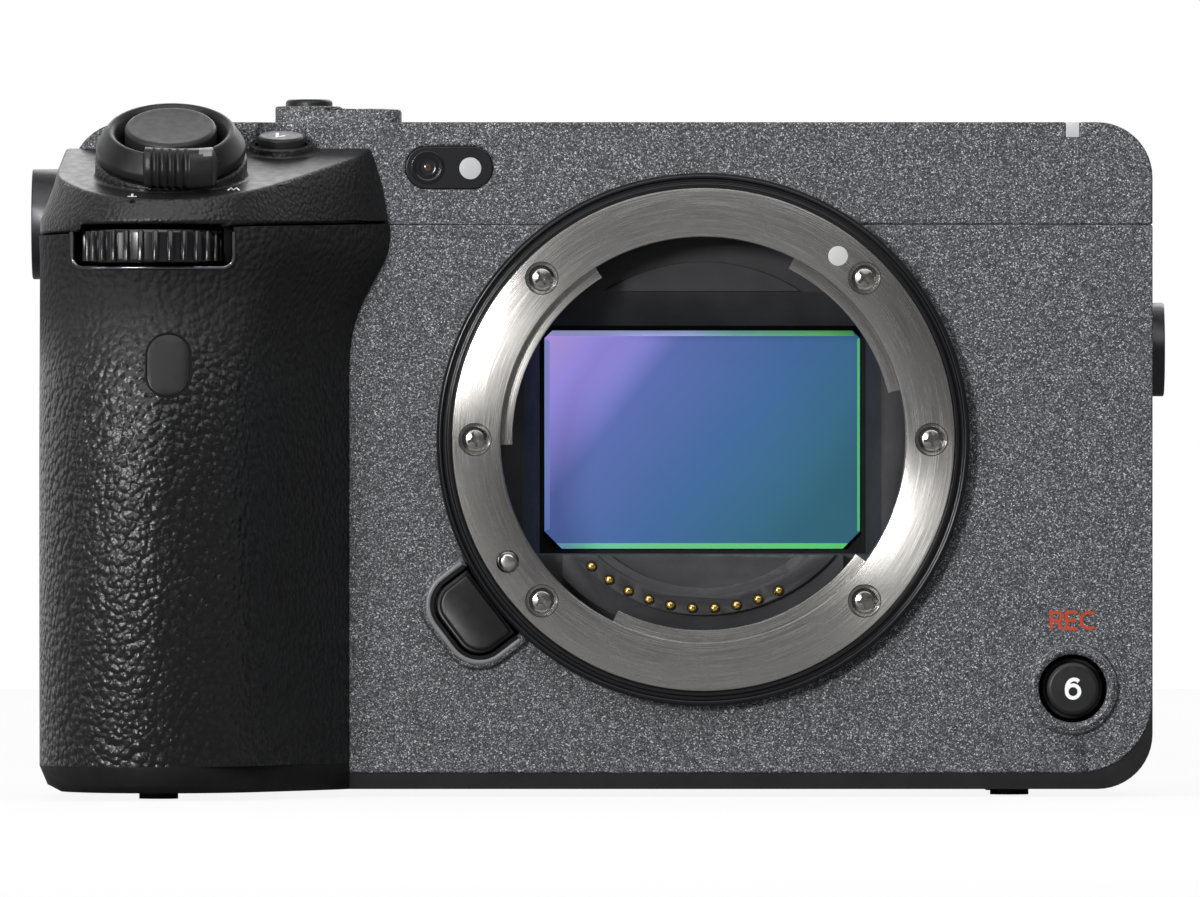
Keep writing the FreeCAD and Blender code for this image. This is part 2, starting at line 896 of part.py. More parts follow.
# each section: share of its height, then how far it stays back from the split edge, the front
# and the outer side
BASE_FORM = ((0.0, 0.0, 5.4, 2.4), (0.27, 0.0, 3.9, 0.9), (1.0, 0.0, 3.0, 0.0))
HAND_FORM = ((0.0, 0.0, 3.0, 0.0), (0.2312, 0.0, 0.8, 0.0), (0.479, 0.0, 0.0, 0.0),
             (0.6937, 0.0, 1.5, 0.0), (0.8266, 0.7, 4.2, 0.0), (0.8927, 2.4, 4.9, 0.0),
             (0.9587, 4.4, 4.1, 0.0))
TOP_FORM = ((0.106, 4.6, 4.2, 0.1), (0.529, 3.9, 6.2, 1.6), (1.217, 1.8, 7.6, 3.2))


def grip_section(height, flare, front, side, inset):
    depth = value(face) + front
    width = side + value(battery_right) + value(size.grip_shoulder) + flare
    start = value(grip_edge) + LEDGE + flare - inset
    split_edge = value(grip_edge)
    rear = value(grip_back)
    curve = [Vector(start, value(face), height)]
    for across, forward in FRONT_CURVE:
        curve.append(Vector(-side + across * width, value(face) - forward * depth, height))
    if inset:
        curve = [inward(curve, number, inset) for number in range(len(curve))]
        curve[0] = Vector(start, value(face) + value(past) / 2, height)
        curve[-1] = Vector(-side + inset, curve[-1].y, height)
        split_edge += value(past)
        rear += value(past)
    spline = Part.BSplineCurve()
    spline.interpolate(Points=curve, InitialTangent=Vector(-0.35, -0.94, 0),
                       FinalTangent=Vector(0, 1, 0), Scale=True)
    edges = [spline.toShape()]
    corners = [curve[-1], Vector(curve[-1].x, rear, height), Vector(split_edge, rear, height),
               Vector(split_edge, curve[0].y, height), curve[0]]
    for start, end in zip(corners, corners[1:]):
        edges.append(Part.LineSegment(start, end).toShape())
    return Part.Wire(edges)


def inward(curve, number, inset):
    before = curve[max(number - 1, 0)]
    after = curve[min(number + 1, len(curve) - 1)]
    along = (after - before).normalize()
    return curve[number] + Vector(-along.y, along.x, 0) * -inset


def grip_levels(form, low, high):
    levels = []
    for share, flare, front, side in form:
        levels.append((value(low) + share * value(high - low), flare,
                       value(size.grip_front) - front, value(size.grip_left) - side))
    return levels


def grip_loft(levels, inset, name):
    wires = [grip_section(*level, inset) for level in levels]
    item = doc.addObject("Part::Feature", name)
    item.Shape = Part.makeLoft(wires, True, True)
    return item


def seam_block(above):
    item = block((-far / 2, far / 2), (-far / 2, far / 2), (0, far))
    lift = size.seam_height if above else size.seam_height - far
    shift = lift - (far / 2) * sine(size.seam_tilt)
    return place(item, (-size.seam_middle - far / 2, -far / 2, shift),
                 (Y_AXIS, -size.seam_tilt))


def deck_rod(radius, start, length):
    rise = size.deck_height - (face - size.deck_key_back) * sine(size.deck_tilt)
    point = (-size.deck_key_centre, size.deck_key_back - start * sine(size.deck_tilt),
             rise + start * cosine(size.deck_tilt))
    return rod(radius, point, length, (X_AXIS, size.deck_tilt))


def shutter_point(down):
    return (-size.shutter_centre, -size.shutter_front + down * sine(size.shutter_tilt),
            shutter_height - down * cosine(size.shutter_tilt))


def shutter_rod(radius, down, length):
    return rod(radius, shutter_point(down), length, (X_AXIS, size.shutter_tilt))


def battery_space(grow, low, high):
    x_low = -size.battery_left - grow
    x_high = -size.battery_left + size.battery_width + grow
    return block((x_low, x_high), (-size.battery_front - grow,
                                   -size.battery_front + size.battery_depth + grow), (low, high))


def dial_space():
    low = size.dial_bottom - size.dial_clearance
    height = size.dial_thickness + 2 * size.dial_clearance
    middle = (-size.dial_centre, -size.dial_back, low)
    round_space = rod(size.dial_radius + size.dial_clearance, middle, height)
    mouth = block((-size.dial_centre - size.slot_half, -size.dial_centre + size.slot_half),
                  (-size.dial_back - far / 4, -size.dial_back - size.dial_radius / 2),
                  (low, low + height))
    axle = rod(size.dial_axle, middle, size.dial_thickness)
    return cut(fuse(round_space, mouth), axle)


def oval(grow, low, high):
    half = size.oval_width / 2 + grow
    reach = (size.oval_height - size.oval_width) / 2
    x = -size.oval_left
    z = size.oval_up
    ends = [rod(half, (x, low, z + side * reach), high - low, ALONG_Y) for side in (-1, 1)]
    return fuse(block((x - half, x + half), (low, high), (z - reach, z + reach)), *ends)


def grip_boss_hole():
    reach = size.grip_boss_proud + past
    return rod(size.grip_boss_radius, (-size.grip_left - reach, size.grip_boss_depth,
                                       size.grip_boss_height), size.boss_length + 2 * past, ALONG_X)


def grip():
    levels = grip_levels(HAND_FORM, bottom + size.grip_base, size.seam_height)
    levels += grip_levels(TOP_FORM, size.seam_height, size.deck_height)
    outer = grip_loft(levels, 0, "GripForm")
    inner = grip_loft(levels, value(size.rubber), "GripCore")
    bay_top = bottom + size.door_thickness + size.battery_height + 2 * size.battery_gap
    bay = battery_space(size.battery_gap, bottom - past, bay_top)
    boss = grip_boss_hole()
    window = oval(0, -far / 2, -oval_back)
    below = cut(outer, seam_block(True))
    keep(cut(below, inner, dial_space(), boss, window), "grip_rubber")
    keep(cut(common(below, inner), bay, dial_space(), boss, window), "grip_frame")
    front_only = block((-far, far), (-far, face), (-far, far))
    low_part = block((-far, far), (-far, far), (-far, split))
    above = common(cut(outer, seam_block(False)), fuse(front_only, low_part))
    deck = block((-far / 2, far / 2), (-far / 2, far / 2), (0, far / 2))
    place(deck, (-far / 2, -far / 2 * cosine(size.deck_tilt) + face,
                 size.deck_height - far / 2 * sine(size.deck_tilt)), (X_AXIS, size.deck_tilt))
    base = size.lever_drop + size.lever_height + gap
    pedestal = shutter_rod(size.pedestal_radius, base + size.pedestal_length,
                           size.pedestal_length)
    ring = deck_rod(size.deck_ring_radius, -wall, wall + size.deck_ring_height)
    case = block((left, far), (face, far), (split, far))
    body = fuse(cut(fuse(cut(above, deck), pedestal), case), ring)
    deep = (size.shutter_button_height + size.shutter_stem_length + size.shutter_travel + gap)
    stem = shutter_rod(size.shutter_stem + gap, deep, deep)
    well = shutter_rod(size.shutter_radius + gap, base + size.shutter_travel, base)
    hole = deck_rod(size.deck_key_radius + gap, -size.deck_key_depth, 2 * size.deck_key_depth)
    keep(cut(body, dial_space(), boss, stem, well, hole), "grip_top_cover")
    return bay


def bottom_cover(bay):
    grip_side = block((-far, grip_edge), (-far, grip_back), (-far, far))
    plate = cut(case_shell, upper_shape, grip_side)
    levels = grip_levels(BASE_FORM, bottom, bottom + size.grip_base)
    grip_foot = grip_loft(levels, 0, "GripFoot")
    foot_back = back - size.foot_margin
    feet = [rod(size.foot_radius, (x, y, bottom - size.foot_height), size.foot_height + wall / 2)
            for x, y in ((-size.foot_left, foot_back), (size.foot_right, foot_back),
                         (size.foot_right, size.foot_front), (-size.grip_foot_left,
                                                              -size.grip_foot_front))]
    tripod = rod(size.insert_radius, (0, size.tripod_depth, bottom - past), wall + 2 * past)
    door = size.door_thickness
    pin = rod(size.hinge_pin, (battery_hinge, -size.battery_front - size.battery_gap,
                               bottom + door / 2), size.battery_depth + 2 * size.battery_gap,
              ALONG_Y)
    keep(fuse(cut(fuse(plate, grip_foot, *feet), bay, tripod), pin), "bottom_cover")


# Lens mount

def mount_ring():
    chamfer = size.ring_chamfer
    low = size.ring_thickness
    seat = inner_face
    bore = size.throat_radius
    relief = bore + size.throat_relief
    edge = size.ring_radius
    profile = [(bore, 0), (edge - chamfer, 0), (edge, chamfer), (edge, low),
               (size.ring_seat_radius, low), (size.ring_seat_radius, seat), (relief, seat),
               (relief, size.tab_depth), (bore, size.tab_depth)]
    ring = turned(profile, (0, 0, 0), ALONG_Y)
    tabs = [bayonet_tab(start, sweep) for start, sweep in (
        (size.tab_a_start, size.tab_a_sweep), (size.tab_b_start, size.tab_b_sweep),
        (size.tab_c_start, size.tab_c_sweep))]
    holes = []
    for x, z in screw_places():
        holes.append(rod(size.screw_recess, (x, -past, z), past + size.screw_sink, ALONG_Y))
        holes.append(rod(size.screw_shank + size.mount_gap, (x, 0, z), seat + past, ALONG_Y))
    holes.append(pin_hole(size.running_gap, seat))
    keep(cut(fuse(ring, *tabs), *holes), "mount_ring")


def pin_hole(room, high):
    x, z = on_circle(size.pin_circle, size.pin_angle)
    return rod(size.pin_radius + room, (x, -past, z), high + 2 * past, ALONG_Y)


def bayonet_tab(start, sweep):
    parts = []
    for radius in (size.throat_radius + 2 * size.throat_relief, size.tab_radius):
        sector = rod(radius, (0, size.tab_depth + size.tab_thickness, 0), size.tab_thickness,
                     TO_FRONT)
        bind(sector, "Angle", sweep)
        parts.append(sector)
    return around(cut(*parts), start)


def screw_places():
    return [on_circle(size.screw_circle, angle) for angle in SCREW_ANGLES]


def mount_screws():
    screws = []
    for x, z in screw_places():
        low = size.screw_sink - size.screw_thickness
        head = rod(size.screw_head, (x, low, z), size.screw_thickness, ALONG_Y)
        shank = rod(size.screw_shank, (x, size.screw_sink / 2, z), size.screw_length, ALONG_Y)
        screws.append(fuse(head, shank))
    keep(together(*screws), "mount_screws")


def mount_collar():
    inner = size.ring_radius + size.mount_gap
    outer = size.collar_radius
    front = face - size.collar_height
    groove = front + size.collar_groove
    land = (outer - inner) / 4
    step = front + size.ring_chamfer
    profile = [(inner, face), (outer, face), (outer, groove), (outer - land / 2, step),
               (outer - land, step), (outer - land, groove), (inner + land, groove),
               (inner + land, front), (inner, front)]
    keep(turned(profile, (0, 0, 0), ALONG_Y), "mount_collar")


def release_button():
    front = face - size.release_proud
    shape = release_shape(0, front, front + size.release_thickness, size.release_corner)
    collar = mount_rod(size.collar_radius + gap, -face, face * 3)
    keep(cut(shape, collar), "lens_release_button")


def lock_pin():
    x, z = on_circle(size.pin_circle, size.pin_angle)
    keep(rod(size.pin_radius, (x, -size.pin_proud, z), size.pin_length, ALONG_Y), "lock_pin")


def contact_places():
    return [on_circle(size.contact_circle, size.contact_first + size.contact_step * number)
            for number in range(int(value(size.contact_count)))]


def contact_block():
    depth = chassis_back - size.block_depth
    body = mount_rod(size.block_outer, size.block_depth, chassis_back)
    area = block((-size.block_half, size.block_half), (0, chassis_back),
                 (-size.block_outer, -size.block_top))
    scoop = mount_rod(size.block_inner, 0, chassis_back - depth / 3)
    track = cut(mount_rod(size.track_outer, size.track_depth, chassis_back),
                mount_rod(size.track_inner, 0, chassis_back))
    solid = common(fuse(cut(body, scoop), track), area)
    holes = [rod(size.contact_radius + size.running_gap, (x, 0, z), chassis_back + past, ALONG_Y)
             for x, z in contact_places()]
    keep(cut(solid, *holes), "contact_block")


def contact_pins():
    pins = []
    tip = size.contact_radius / 2
    length = chassis_back - size.contact_depth - size.contact_travel - gap / 2
    for x, z in contact_places():
        profile = [(0, 0), (tip, 0), (size.contact_radius, tip), (size.contact_radius, length),
                   (0, length)]
        pins.append(turned(profile, (x, size.contact_depth, z), ALONG_Y))
    keep(together(*pins), "contact_pins")


# Chassis, light box, shutter and sensor

def mount_chassis():
    width = size.chassis_half_width
    height = size.chassis_half_height
    plate = rounded((-width, width), (inner_face, chassis_back), (-height, height),
                    size.chassis_corner, Y_AXIS)
    bore = mount_rod(size.chassis_bore, 0, chassis_back + past)
    release = release_shape(gap, 0, chassis_back + past, size.release_corner)
    holes = [pin_hole(size.running_gap, chassis_back)]
    for x, z in screw_places():
        holes.append(rod(size.screw_shank + size.mount_gap, (x, 0, z), chassis_back + past,
                         ALONG_Y))
    keep(cut(plate, bore, release, *holes), "mount_chassis")


def light_box():
    width = size.light_box_half_width
    height = size.light_box_half_height
    solid = rounded((-width, width), (chassis_back, light_back), (-height, height),
                    size.chassis_corner, Y_AXIS)
    mouth = doc.addObject("Part::Wedge", "Mouth")
    limits = (("Xmin", -size.light_mouth_half), ("Xmax", size.light_mouth_half),
              ("Ymin", chassis_back), ("Ymax", light_back),
              ("Zmin", -size.block_top), ("Zmax", size.light_mouth_top),
              ("X2min", -window_width), ("X2max", window_width),
              ("Z2min", -window_height), ("Z2max", window_height))
    for prop, distance in limits:
        setattr(mouth, prop, value(distance))
        bind(mouth, prop, distance)
    pin = pin_hole(gap, size.pin_length - size.pin_proud + size.release_travel)
    keep(cut(solid, mouth, pin), "light_box")


def shutter():
    half = size.shutter_half_width
    rim = size.shutter_wall
    solid = block((-half, half), (light_back, shutter_back),
                  (-size.shutter_bottom, size.shutter_top))
    cavity = block((-half + rim, half - rim), (light_back + rim, shutter_back - rim),
                   (-size.shutter_bottom + rim, size.shutter_top - rim))
    window = block((-window_width, window_width), (light_back - past, shutter_back + past),
                   (-window_height, window_height))
    keep(cut(solid, cavity, window), "shutter_frame")
    for number in range(3):
        front = light_back + rim + gap + size.blade_pitch * number
        blade = block((-size.blade_half_width, size.blade_half_width),
                      (front, front + size.blade_thickness),
                      (-size.blade_rest, size.blade_height - size.blade_rest))
        keep(blade, f"shutter_blade_{number + 1}")


def sensor():
    width = size.holder_half_width
    height = size.holder_half_height
    solid = block((-width, width), (holder_front, holder_back), (-height, height))
    seat = holder_front + size.holder_lip
    window = block((-size.window_half_width, size.window_half_width),
                   (holder_front - past, seat + size.glass_thickness / 2),
                   (-size.window_half_height, size.window_half_height))
    pocket = block((-size.glass_half_width, size.glass_half_width),
                   (seat, seat + size.glass_thickness),
                   (-size.glass_half_height, size.glass_half_height))
    keep(cut(solid, window, pocket), "sensor_holder")
    glass = block((-size.glass_half_width, size.glass_half_width),
                  (seat, seat + size.glass_thickness),
                  (-size.glass_half_height, size.glass_half_height))
    keep(glass, "sensor_glass")


def stabiliser():
    width = size.frame_half_width
    height = size.frame_half_height
    frame = rounded((-width, width), (frame_front, frame_back), (-height, height),
                    size.chassis_corner / 2, Y_AXIS)
    hole = block((-width * size.frame_opening, width * size.frame_opening),
                 (frame_front - past, frame_back + past),
                 (-height * size.frame_opening, height * size.frame_opening))
    keep(cut(frame, hole), "stabiliser_frame")
    width = size.base_half_width
    height = size.base_half_height
    plate = rounded((-width, width), (base_front, base_back), (-height, height),
                    size.chassis_corner, Y_AXIS)
    posts = [rod(size.post_radius, (x, chassis_back, z), base_front - chassis_back, ALONG_Y)
             for x in (-size.post_reach, size.post_reach)
             for z in (-size.post_height, size.post_height)]
    keep(fuse(plate, *posts), "stabiliser_base")


def main_board():
    plate = block((-size.board_left, size.board_right), (board_front, board_back),
                  (-size.board_bottom, size.board_top))
    chip = size.chip_size
    chips = [block((x, x + chip), (board_back, sink_front), (z, z + chip))
             for x, z in ((-chip * 4 / 3, -chip / 2), (chip / 6, -chip / 2),
                          (-chip * 4 / 3, -chip * 13 / 6))]
    keep(fuse(plate, *chips), "main_board")


def heat_sink():
    centre = size.fan_centre
    outer = size.fan_radius + size.fan_room + size.fan_shroud
    plate = block((-size.sink_left, centre), (sink_front, sink_back), (-outer, outer))
    floor_disc = rod(outer, (centre, sink_front, 0), size.sink_thickness, ALONG_Y)
    shroud = tube(outer, outer - size.fan_shroud, (centre, sink_front, 0),
                  size.sink_thickness + size.fan_height, ALONG_Y)
    axle = rod(size.fan_axle, (centre, sink_front, 0), size.sink_thickness + size.fan_height,
               ALONG_Y)
    fins = []
    for number in range(int(value(size.fin_count))):
        start = -size.sink_left + size.fin_pitch * number
        fins.append(block((start, start + size.fin_thickness),
                          (sink_back, sink_back + size.fin_height), (-outer, outer)))
    vent = block((centre - outer - past, centre + outer + past), (sink_back, far),
                 (-size.fan_hub, size.fan_hub))
    keep(fuse(cut(fuse(plate, floor_disc, shroud), vent), axle, *fins), "heat_sink")


def fan_rotor():
    low = sink_back + size.fan_room
    height = size.fan_height - 2 * size.fan_room
    centre = size.fan_centre
    bore = rod(size.fan_axle + size.running_gap, (0, low - past, 0), height + 2 * past, ALONG_Y)
    hub = rod(size.fan_hub, (0, low, 0), height, ALONG_Y)
    half = size.fan_shroud / 4
    blades = []
    for number in range(int(value(size.fan_blades))):
        blade = block((size.fan_hub - past, size.fan_radius), (low, low + height), (-half, half))
        blades.append(around(together(blade), 360 / value(size.fan_blades) * number))
    rotor = cut(fuse(hub, *blades), bore)
    place(rotor, (centre, 0, 0))
    keep(rotor, "fan_rotor")


# Windows, lamp and dials of the front

def small_windows():
    low = face + size.window_sink
    glass = capsule(size.window_length, size.window_height, low, low + size.window_thickness,
                    -size.window_left, size.window_up)
    keep(glass, "front_window")
    pane = common(oval(-gap / 10, -far / 2, -oval_back), doc.getObject("GripForm"))
    keep(pane, "grip_window")
    half = size.lamp_width / 2
    lamp = block((size.lamp_right - half, size.lamp_right + half),
                 (face, face + size.lamp_depth), (top - size.lamp_drop, top))
    keep(lamp, "tally_lamp")


def dials():
    groove = size.dial_groove
    bore = size.dial_axle + size.running_gap
    keep(ribbed(size.dial_radius, size.dial_thickness, bore, groove, size.dial_ribs,
                (-size.dial_centre, -size.dial_back, size.dial_bottom)), "front_dial")
    keep(ribbed(size.rear_dial_radius, size.rear_dial_thickness, bore, groove, size.dial_ribs,
                (-size.rear_dial_left, rear_dial_depth, size.rear_dial_bottom)), "rear_dial")
    depth = size.wheel_pocket + size.wheel_proud
    start = panel_face - size.wheel_pocket + size.running_gap * 4
    keep(ribbed(size.wheel_radius, depth, size.bush_radius + size.running_gap, groove,
                size.wheel_ribs, (-size.wheel_left, start, -size.wheel_below), ALONG_Y),
         "control_wheel")


# Shutter button and zoom lever

def shutter_controls():
    tilt = (X_AXIS, size.shutter_tilt)
    radius = size.shutter_radius
    height = size.shutter_button_height
    button = [(0, -height - size.shutter_stem_length), (size.shutter_stem, -height
              - size.shutter_stem_length), (size.shutter_stem, -height), (radius, -height),
              (radius, -size.key_chamfer), (radius - size.key_chamfer, 0), (0, 0)]
    keep(turned(button, shutter_point(0), tilt), "shutter_button")
    base = -size.lever_drop - size.lever_height
    bowl = size.lever_bowl
    step = base + size.lever_height / 3
    ring = [(bowl, base), (size.lever_radius, base), (size.lever_radius, step),
            (size.lever_rim, -size.lever_drop), (size.lever_rim - gap, -size.lever_drop),
            (bowl, base + size.lever_height / 2)]
    tab = block((size.lever_tab_offset - size.lever_tab_width / 2,
                 size.lever_tab_offset + size.lever_tab_width / 2),
                (-size.lever_tab_reach, gap - size.lever_rim),
                (base, base + size.lever_tab_height))
    edge_line = LEDGE - value(size.lever_tab_reach)
    tab = soften(tab, size.lever_tab_height / 3, lambda edge: edge.CenterOfMass.y < edge_line
                 and edge.CenterOfMass.z > value(base) + LEDGE)
    lever = fuse(turned(ring, (0, 0, 0)), tab)
    place(lever, shutter_point(0), tilt)
    keep(lever, "zoom_lever")


def buttons():
    tilt = (X_AXIS, size.deck_tilt)
    rise = size.deck_height - (face - size.deck_key_back) * sine(size.deck_tilt)
    deck_point = (-size.deck_key_centre, size.deck_key_back, rise)
    total = size.deck_ring_height + size.deck_key_proud
    keep(plain_key(size.deck_key_radius, total, size.wall, deck_point, tilt), "deck_button")
    keep(key(size.record_radius, size.record_proud, wall,
             (size.record_right, face, -size.record_below), TO_FRONT), "record_button")
    middle = size.platform_front + size.platform_depth / 2
    keep(key(size.top_key_radius, size.platform_high + size.top_key_proud, wall,
             (-size.top_key_left, middle, top), ALONG_Z), "top_button")
    keep(key(size.top_record_radius, size.platform_low + size.top_record_proud, wall,
             (-size.top_record_left, middle, top), ALONG_Z), "top_record_button")
    for name, (radius, across, up) in rear_keys().items():
        proud = size.rear_key_proud if name != "centre_button" else size.wheel_proud
        keep(key(radius, proud, size.panel_wall, (-across, panel_face, up), ALONG_Y), name)


def plain_key(radius, proud, depth, point, turn):
    profile = [(0, -depth), (radius, -depth), (radius, proud - size.key_chamfer),
               (radius - size.key_chamfer, proud), (0, proud)]
    return turned(profile, point, turn)


def joystick():
    low = pivot_depth - size.gimbal_thickness / 2
    place_low = (-size.stick_left, low, size.stick_up)
    ring = tube(size.gimbal_radius, size.gimbal_bore, place_low, size.gimbal_thickness, ALONG_Y)
    pins = cut(pivot_rod(size.stick_pivot, size.stick_hole + size.stick_pivot, ALONG_Z),
               rod(size.gimbal_bore, place_low, size.gimbal_thickness, ALONG_Y))
    bore = pivot_rod(size.stick_pivot + size.running_gap, size.stick_hole, ALONG_X)
    keep(cut(fuse(ring, pins), bore), "joystick_gimbal")
    stem = low - size.stick_pivot - panel_face
    cap = size.stick_clear
    rise = cap + size.stick_cap_height
    bevel = size.stick_cap_height * 2 / 3
    profile = [(0, stem), (size.stick_stem, stem), (size.stick_stem, cap), (size.stick_cap, cap),
               (size.stick_cap, rise - bevel), (size.stick_cap - bevel, rise), (0, rise)]
    body = turned(profile, (-size.stick_left, panel_face, size.stick_up), ALONG_Y)
    cross = pivot_rod(size.stick_pivot, size.gimbal_radius - size.running_gap, ALONG_X)
    keep(fuse(body, cross), "joystick_cap")


def power_switch():
    x = -size.switch_left
    y = switch_front
    seat = top - wall - gap
    high = top + size.switch_proud
    knob = block((x, x + size.switch_width), (y, y + size.switch_depth),
                 (seat - size.switch_flange, high))
    knob = soften(knob, size.key_flange, lambda edge: edge.CenterOfMass.z > value(high) - LEDGE)
    reach = size.switch_travel + past
    flange = block((x - reach, x + size.switch_width + reach),
                   (y - past, y + size.switch_depth + past), (seat - size.switch_flange, seat))
    keep(fuse(knob, flange), "power_switch")


# Accessory shoe and threaded inserts

def accessory_shoe():
    low = top - size.shoe_floor
    front = size.shoe_front + gap
    rear = back - past
    half = size.shoe_half - 2 * size.running_gap
    slot = size.shoe_slot_half
    high = top - 3 * size.running_gap
    plate = low + size.shoe_plate
    solid = block((-half, half), (front, rear), (low, high))
    space = block((-slot, slot), (front + past, back + past), (plate, high - size.shoe_rail))
    mouth = block((-size.shoe_gap_half, size.shoe_gap_half), (front + past, back + past),
                  (plate, top + past))
    keep(cut(solid, space, mouth), "accessory_shoe")


def thread_inserts():
    thread = size.thread_radius
    small = size.insert_radius - size.running_gap
    deep = size.insert_depth
    items = [tube(small, thread, (x, y, top - deep), deep) for x, y in insert_places()]
    items.append(tube(small, thread, (0, size.tripod_depth, bottom), deep))
    items.append(tube(size.port_boss_radius - size.running_gap, thread,
                      (right + size.port_boss_proud - size.boss_length, size.port_boss_depth,
                       size.port_boss_height), size.boss_length, ALONG_X))
    items.append(tube(size.grip_boss_radius - size.running_gap, thread,
                      (-size.grip_left - size.grip_boss_proud, size.grip_boss_depth,
                       size.grip_boss_height), size.boss_length, ALONG_X))
    keep(together(*items), "thread_inserts")


# Ports, cards and battery

def socket_block():
    front = right - wall - size.socket_depth
    inset = size.socket_inset
    solid = block((front, right - wall), (port_front + inset, port_back - inset),
                  (-size.data_bottom + inset, size.audio_top - inset))
    middle = (port_front + port_back) / 2
    floor_x = front + size.socket_floor
    height = (size.audio_top - size.audio_bottom) / 2
    jacks = [rod(size.jack_radius, (floor_x, middle + side, height), size.socket_depth, ALONG_X)
             for side in (-port_length * size.jack_share, port_length * size.jack_share)]
    sockets = [block((floor_x, right), (middle - port_length * share, middle + port_length * share),
                     (-low, -low + tall))
               for share, tall, low in ((size.wide_share, size.wide_height, size.wide_below),
                                        (size.narrow_share, size.narrow_height,
                                         size.narrow_below))]
    keep(cut(solid, *sockets, *jacks), "socket_block")


def side_doors():
    half = door_thickness / 2
    for name, heights in zip(("audio_door", "data_door"), port_heights()):
        keep(swing_door(right - half, (port_front, port_back), heights), name)
    heights = (-size.card_bottom, size.card_top)
    keep(swing_door(left + half, (card_front, card_back), heights), "card_door")


def card_reader():
    start = left + wall + size.socket_floor
    inset = size.socket_inset
    low = -size.card_bottom + inset
    high = size.card_top - inset
    near = card_front + gap
    deep = card_back - gap - near
    solid = block((start, start + size.reader_width), (near, near + deep), (low, high))
    thick = deep * size.reader_slot
    slots = [block((left, start + size.reader_width - 2 * wall),
                   (near + deep * share - thick / 2, near + deep * share + thick / 2),
                   (low + wall, high - wall)) for share in CARD_SLOTS]
    keep(cut(solid, *slots), "card_reader")


def battery():
    low = bottom + size.door_thickness + size.battery_gap
    solid = battery_space(0, low, low + size.battery_height)
    keep(soften(solid, size.battery_corner, lambda edge: runs_along(edge, Z_AXIS)), "battery")
    thick = size.door_thickness
    grow = size.battery_gap - size.door_gap
    near = -size.battery_front - grow
    away = battery_back + grow
    plate = block((-size.battery_left - grow, battery_hinge), (near, away), (bottom, bottom + thick))
    barrel = rod(thick / 2, (battery_hinge, near, bottom + thick / 2), away - near, ALONG_Y)
    bore = rod(size.hinge_pin + size.running_gap, (battery_hinge, near, bottom + thick / 2),
               away - near, ALONG_Y)
    middle = (near + away) / 2
    half = size.latch_width / 2
    start = -size.battery_left + size.battery_corner
    pocket = block((start - gap, start + size.latch_length + size.latch_travel + gap),
                   (middle - half - gap, middle + half + gap),
                   (bottom - past, bottom + size.latch_depth))
    keep(cut(fuse(plate, barrel), pocket, bore), "battery_door")
    keep(block((start, start + size.latch_length), (middle - half, middle + half),
               (bottom - size.latch_proud, bottom + size.latch_depth - gap)), "battery_latch")


# Monitor on its hinge

def monitor():
    x = size.hinge_right
    y = hinge_depth
    knuckle = rod(size.knuckle_radius, (x, y, -size.bracket_bottom),
                  size.bracket_top + size.bracket_bottom)
    arm = block((x - size.bracket_reach, x), (y - size.knuckle_radius, y + size.knuckle_radius),
                (-size.bracket_bottom, size.bracket_top))
    tilt_height = (size.bracket_top - size.bracket_bottom) / 2
    reach = size.shaft_length
    shaft = rod(size.tilt_shaft, (x - size.bracket_reach - reach, y, tilt_height), reach + past,
                ALONG_X)
    keep(fuse(knuckle, arm, shaft), "monitor_bracket")
    start = x - size.bracket_reach - gap
    low = back + size.monitor_front
    high = low + size.monitor_thickness
    panel = rounded((-size.monitor_left, start), (low, high),
                    (-size.monitor_bottom, size.monitor_top), size.monitor_corner, Y_AXIS)
    border = size.screen_border
    screen = ((-size.monitor_left + border, start - border), (high - size.screen_thickness, high),
              (-size.monitor_bottom + border, size.monitor_top - border))
    hole = rod(size.tilt_shaft + size.running_gap, (start - reach, y, tilt_height), reach + past,
               ALONG_X)
    keep(cut(panel, block(*screen), hole), "monitor_housing")
    keep(block(*screen), "monitor_glass")


mount_ring()
mount_screws()
mount_collar()
release_button()
lock_pin()
contact_block()
contact_pins()
mount_chassis()
light_box()
shutter()
sensor()
stabiliser()
main_board()
heat_sink()
fan_rotor()
battery_bay = grip()
front_cover()
top_cover()
side_cover()
rear_cover()
bottom_cover(battery_bay)
small_windows()
dials()
shutter_controls()
buttons()
joystick()
power_switch()
accessory_shoe()
thread_inserts()
socket_block()
side_doors()
card_reader()
battery()
monitor()

doc.recompute()
failed = [item.Label for item in doc.Objects if {"Invalid", "Error"} & set(item.State)]
if failed:
    raise RuntimeError("not built: " + ", ".join(failed))
for name, item in nodes.items():
    if item.Shape.isNull() or not item.Shape.isValid() or not item.Shape.Solids:
        raise RuntimeError("not a sound solid: " + name)
os.makedirs("parts", exist_ok=True)
for name, item in nodes.items():
    item.Shape.exportStep(f"parts/{name}.step")
print(len(nodes), "sub-parts written")
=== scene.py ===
import json
import math

import bmesh
import bpy
import numpy as np
from mathutils import Matrix, Vector


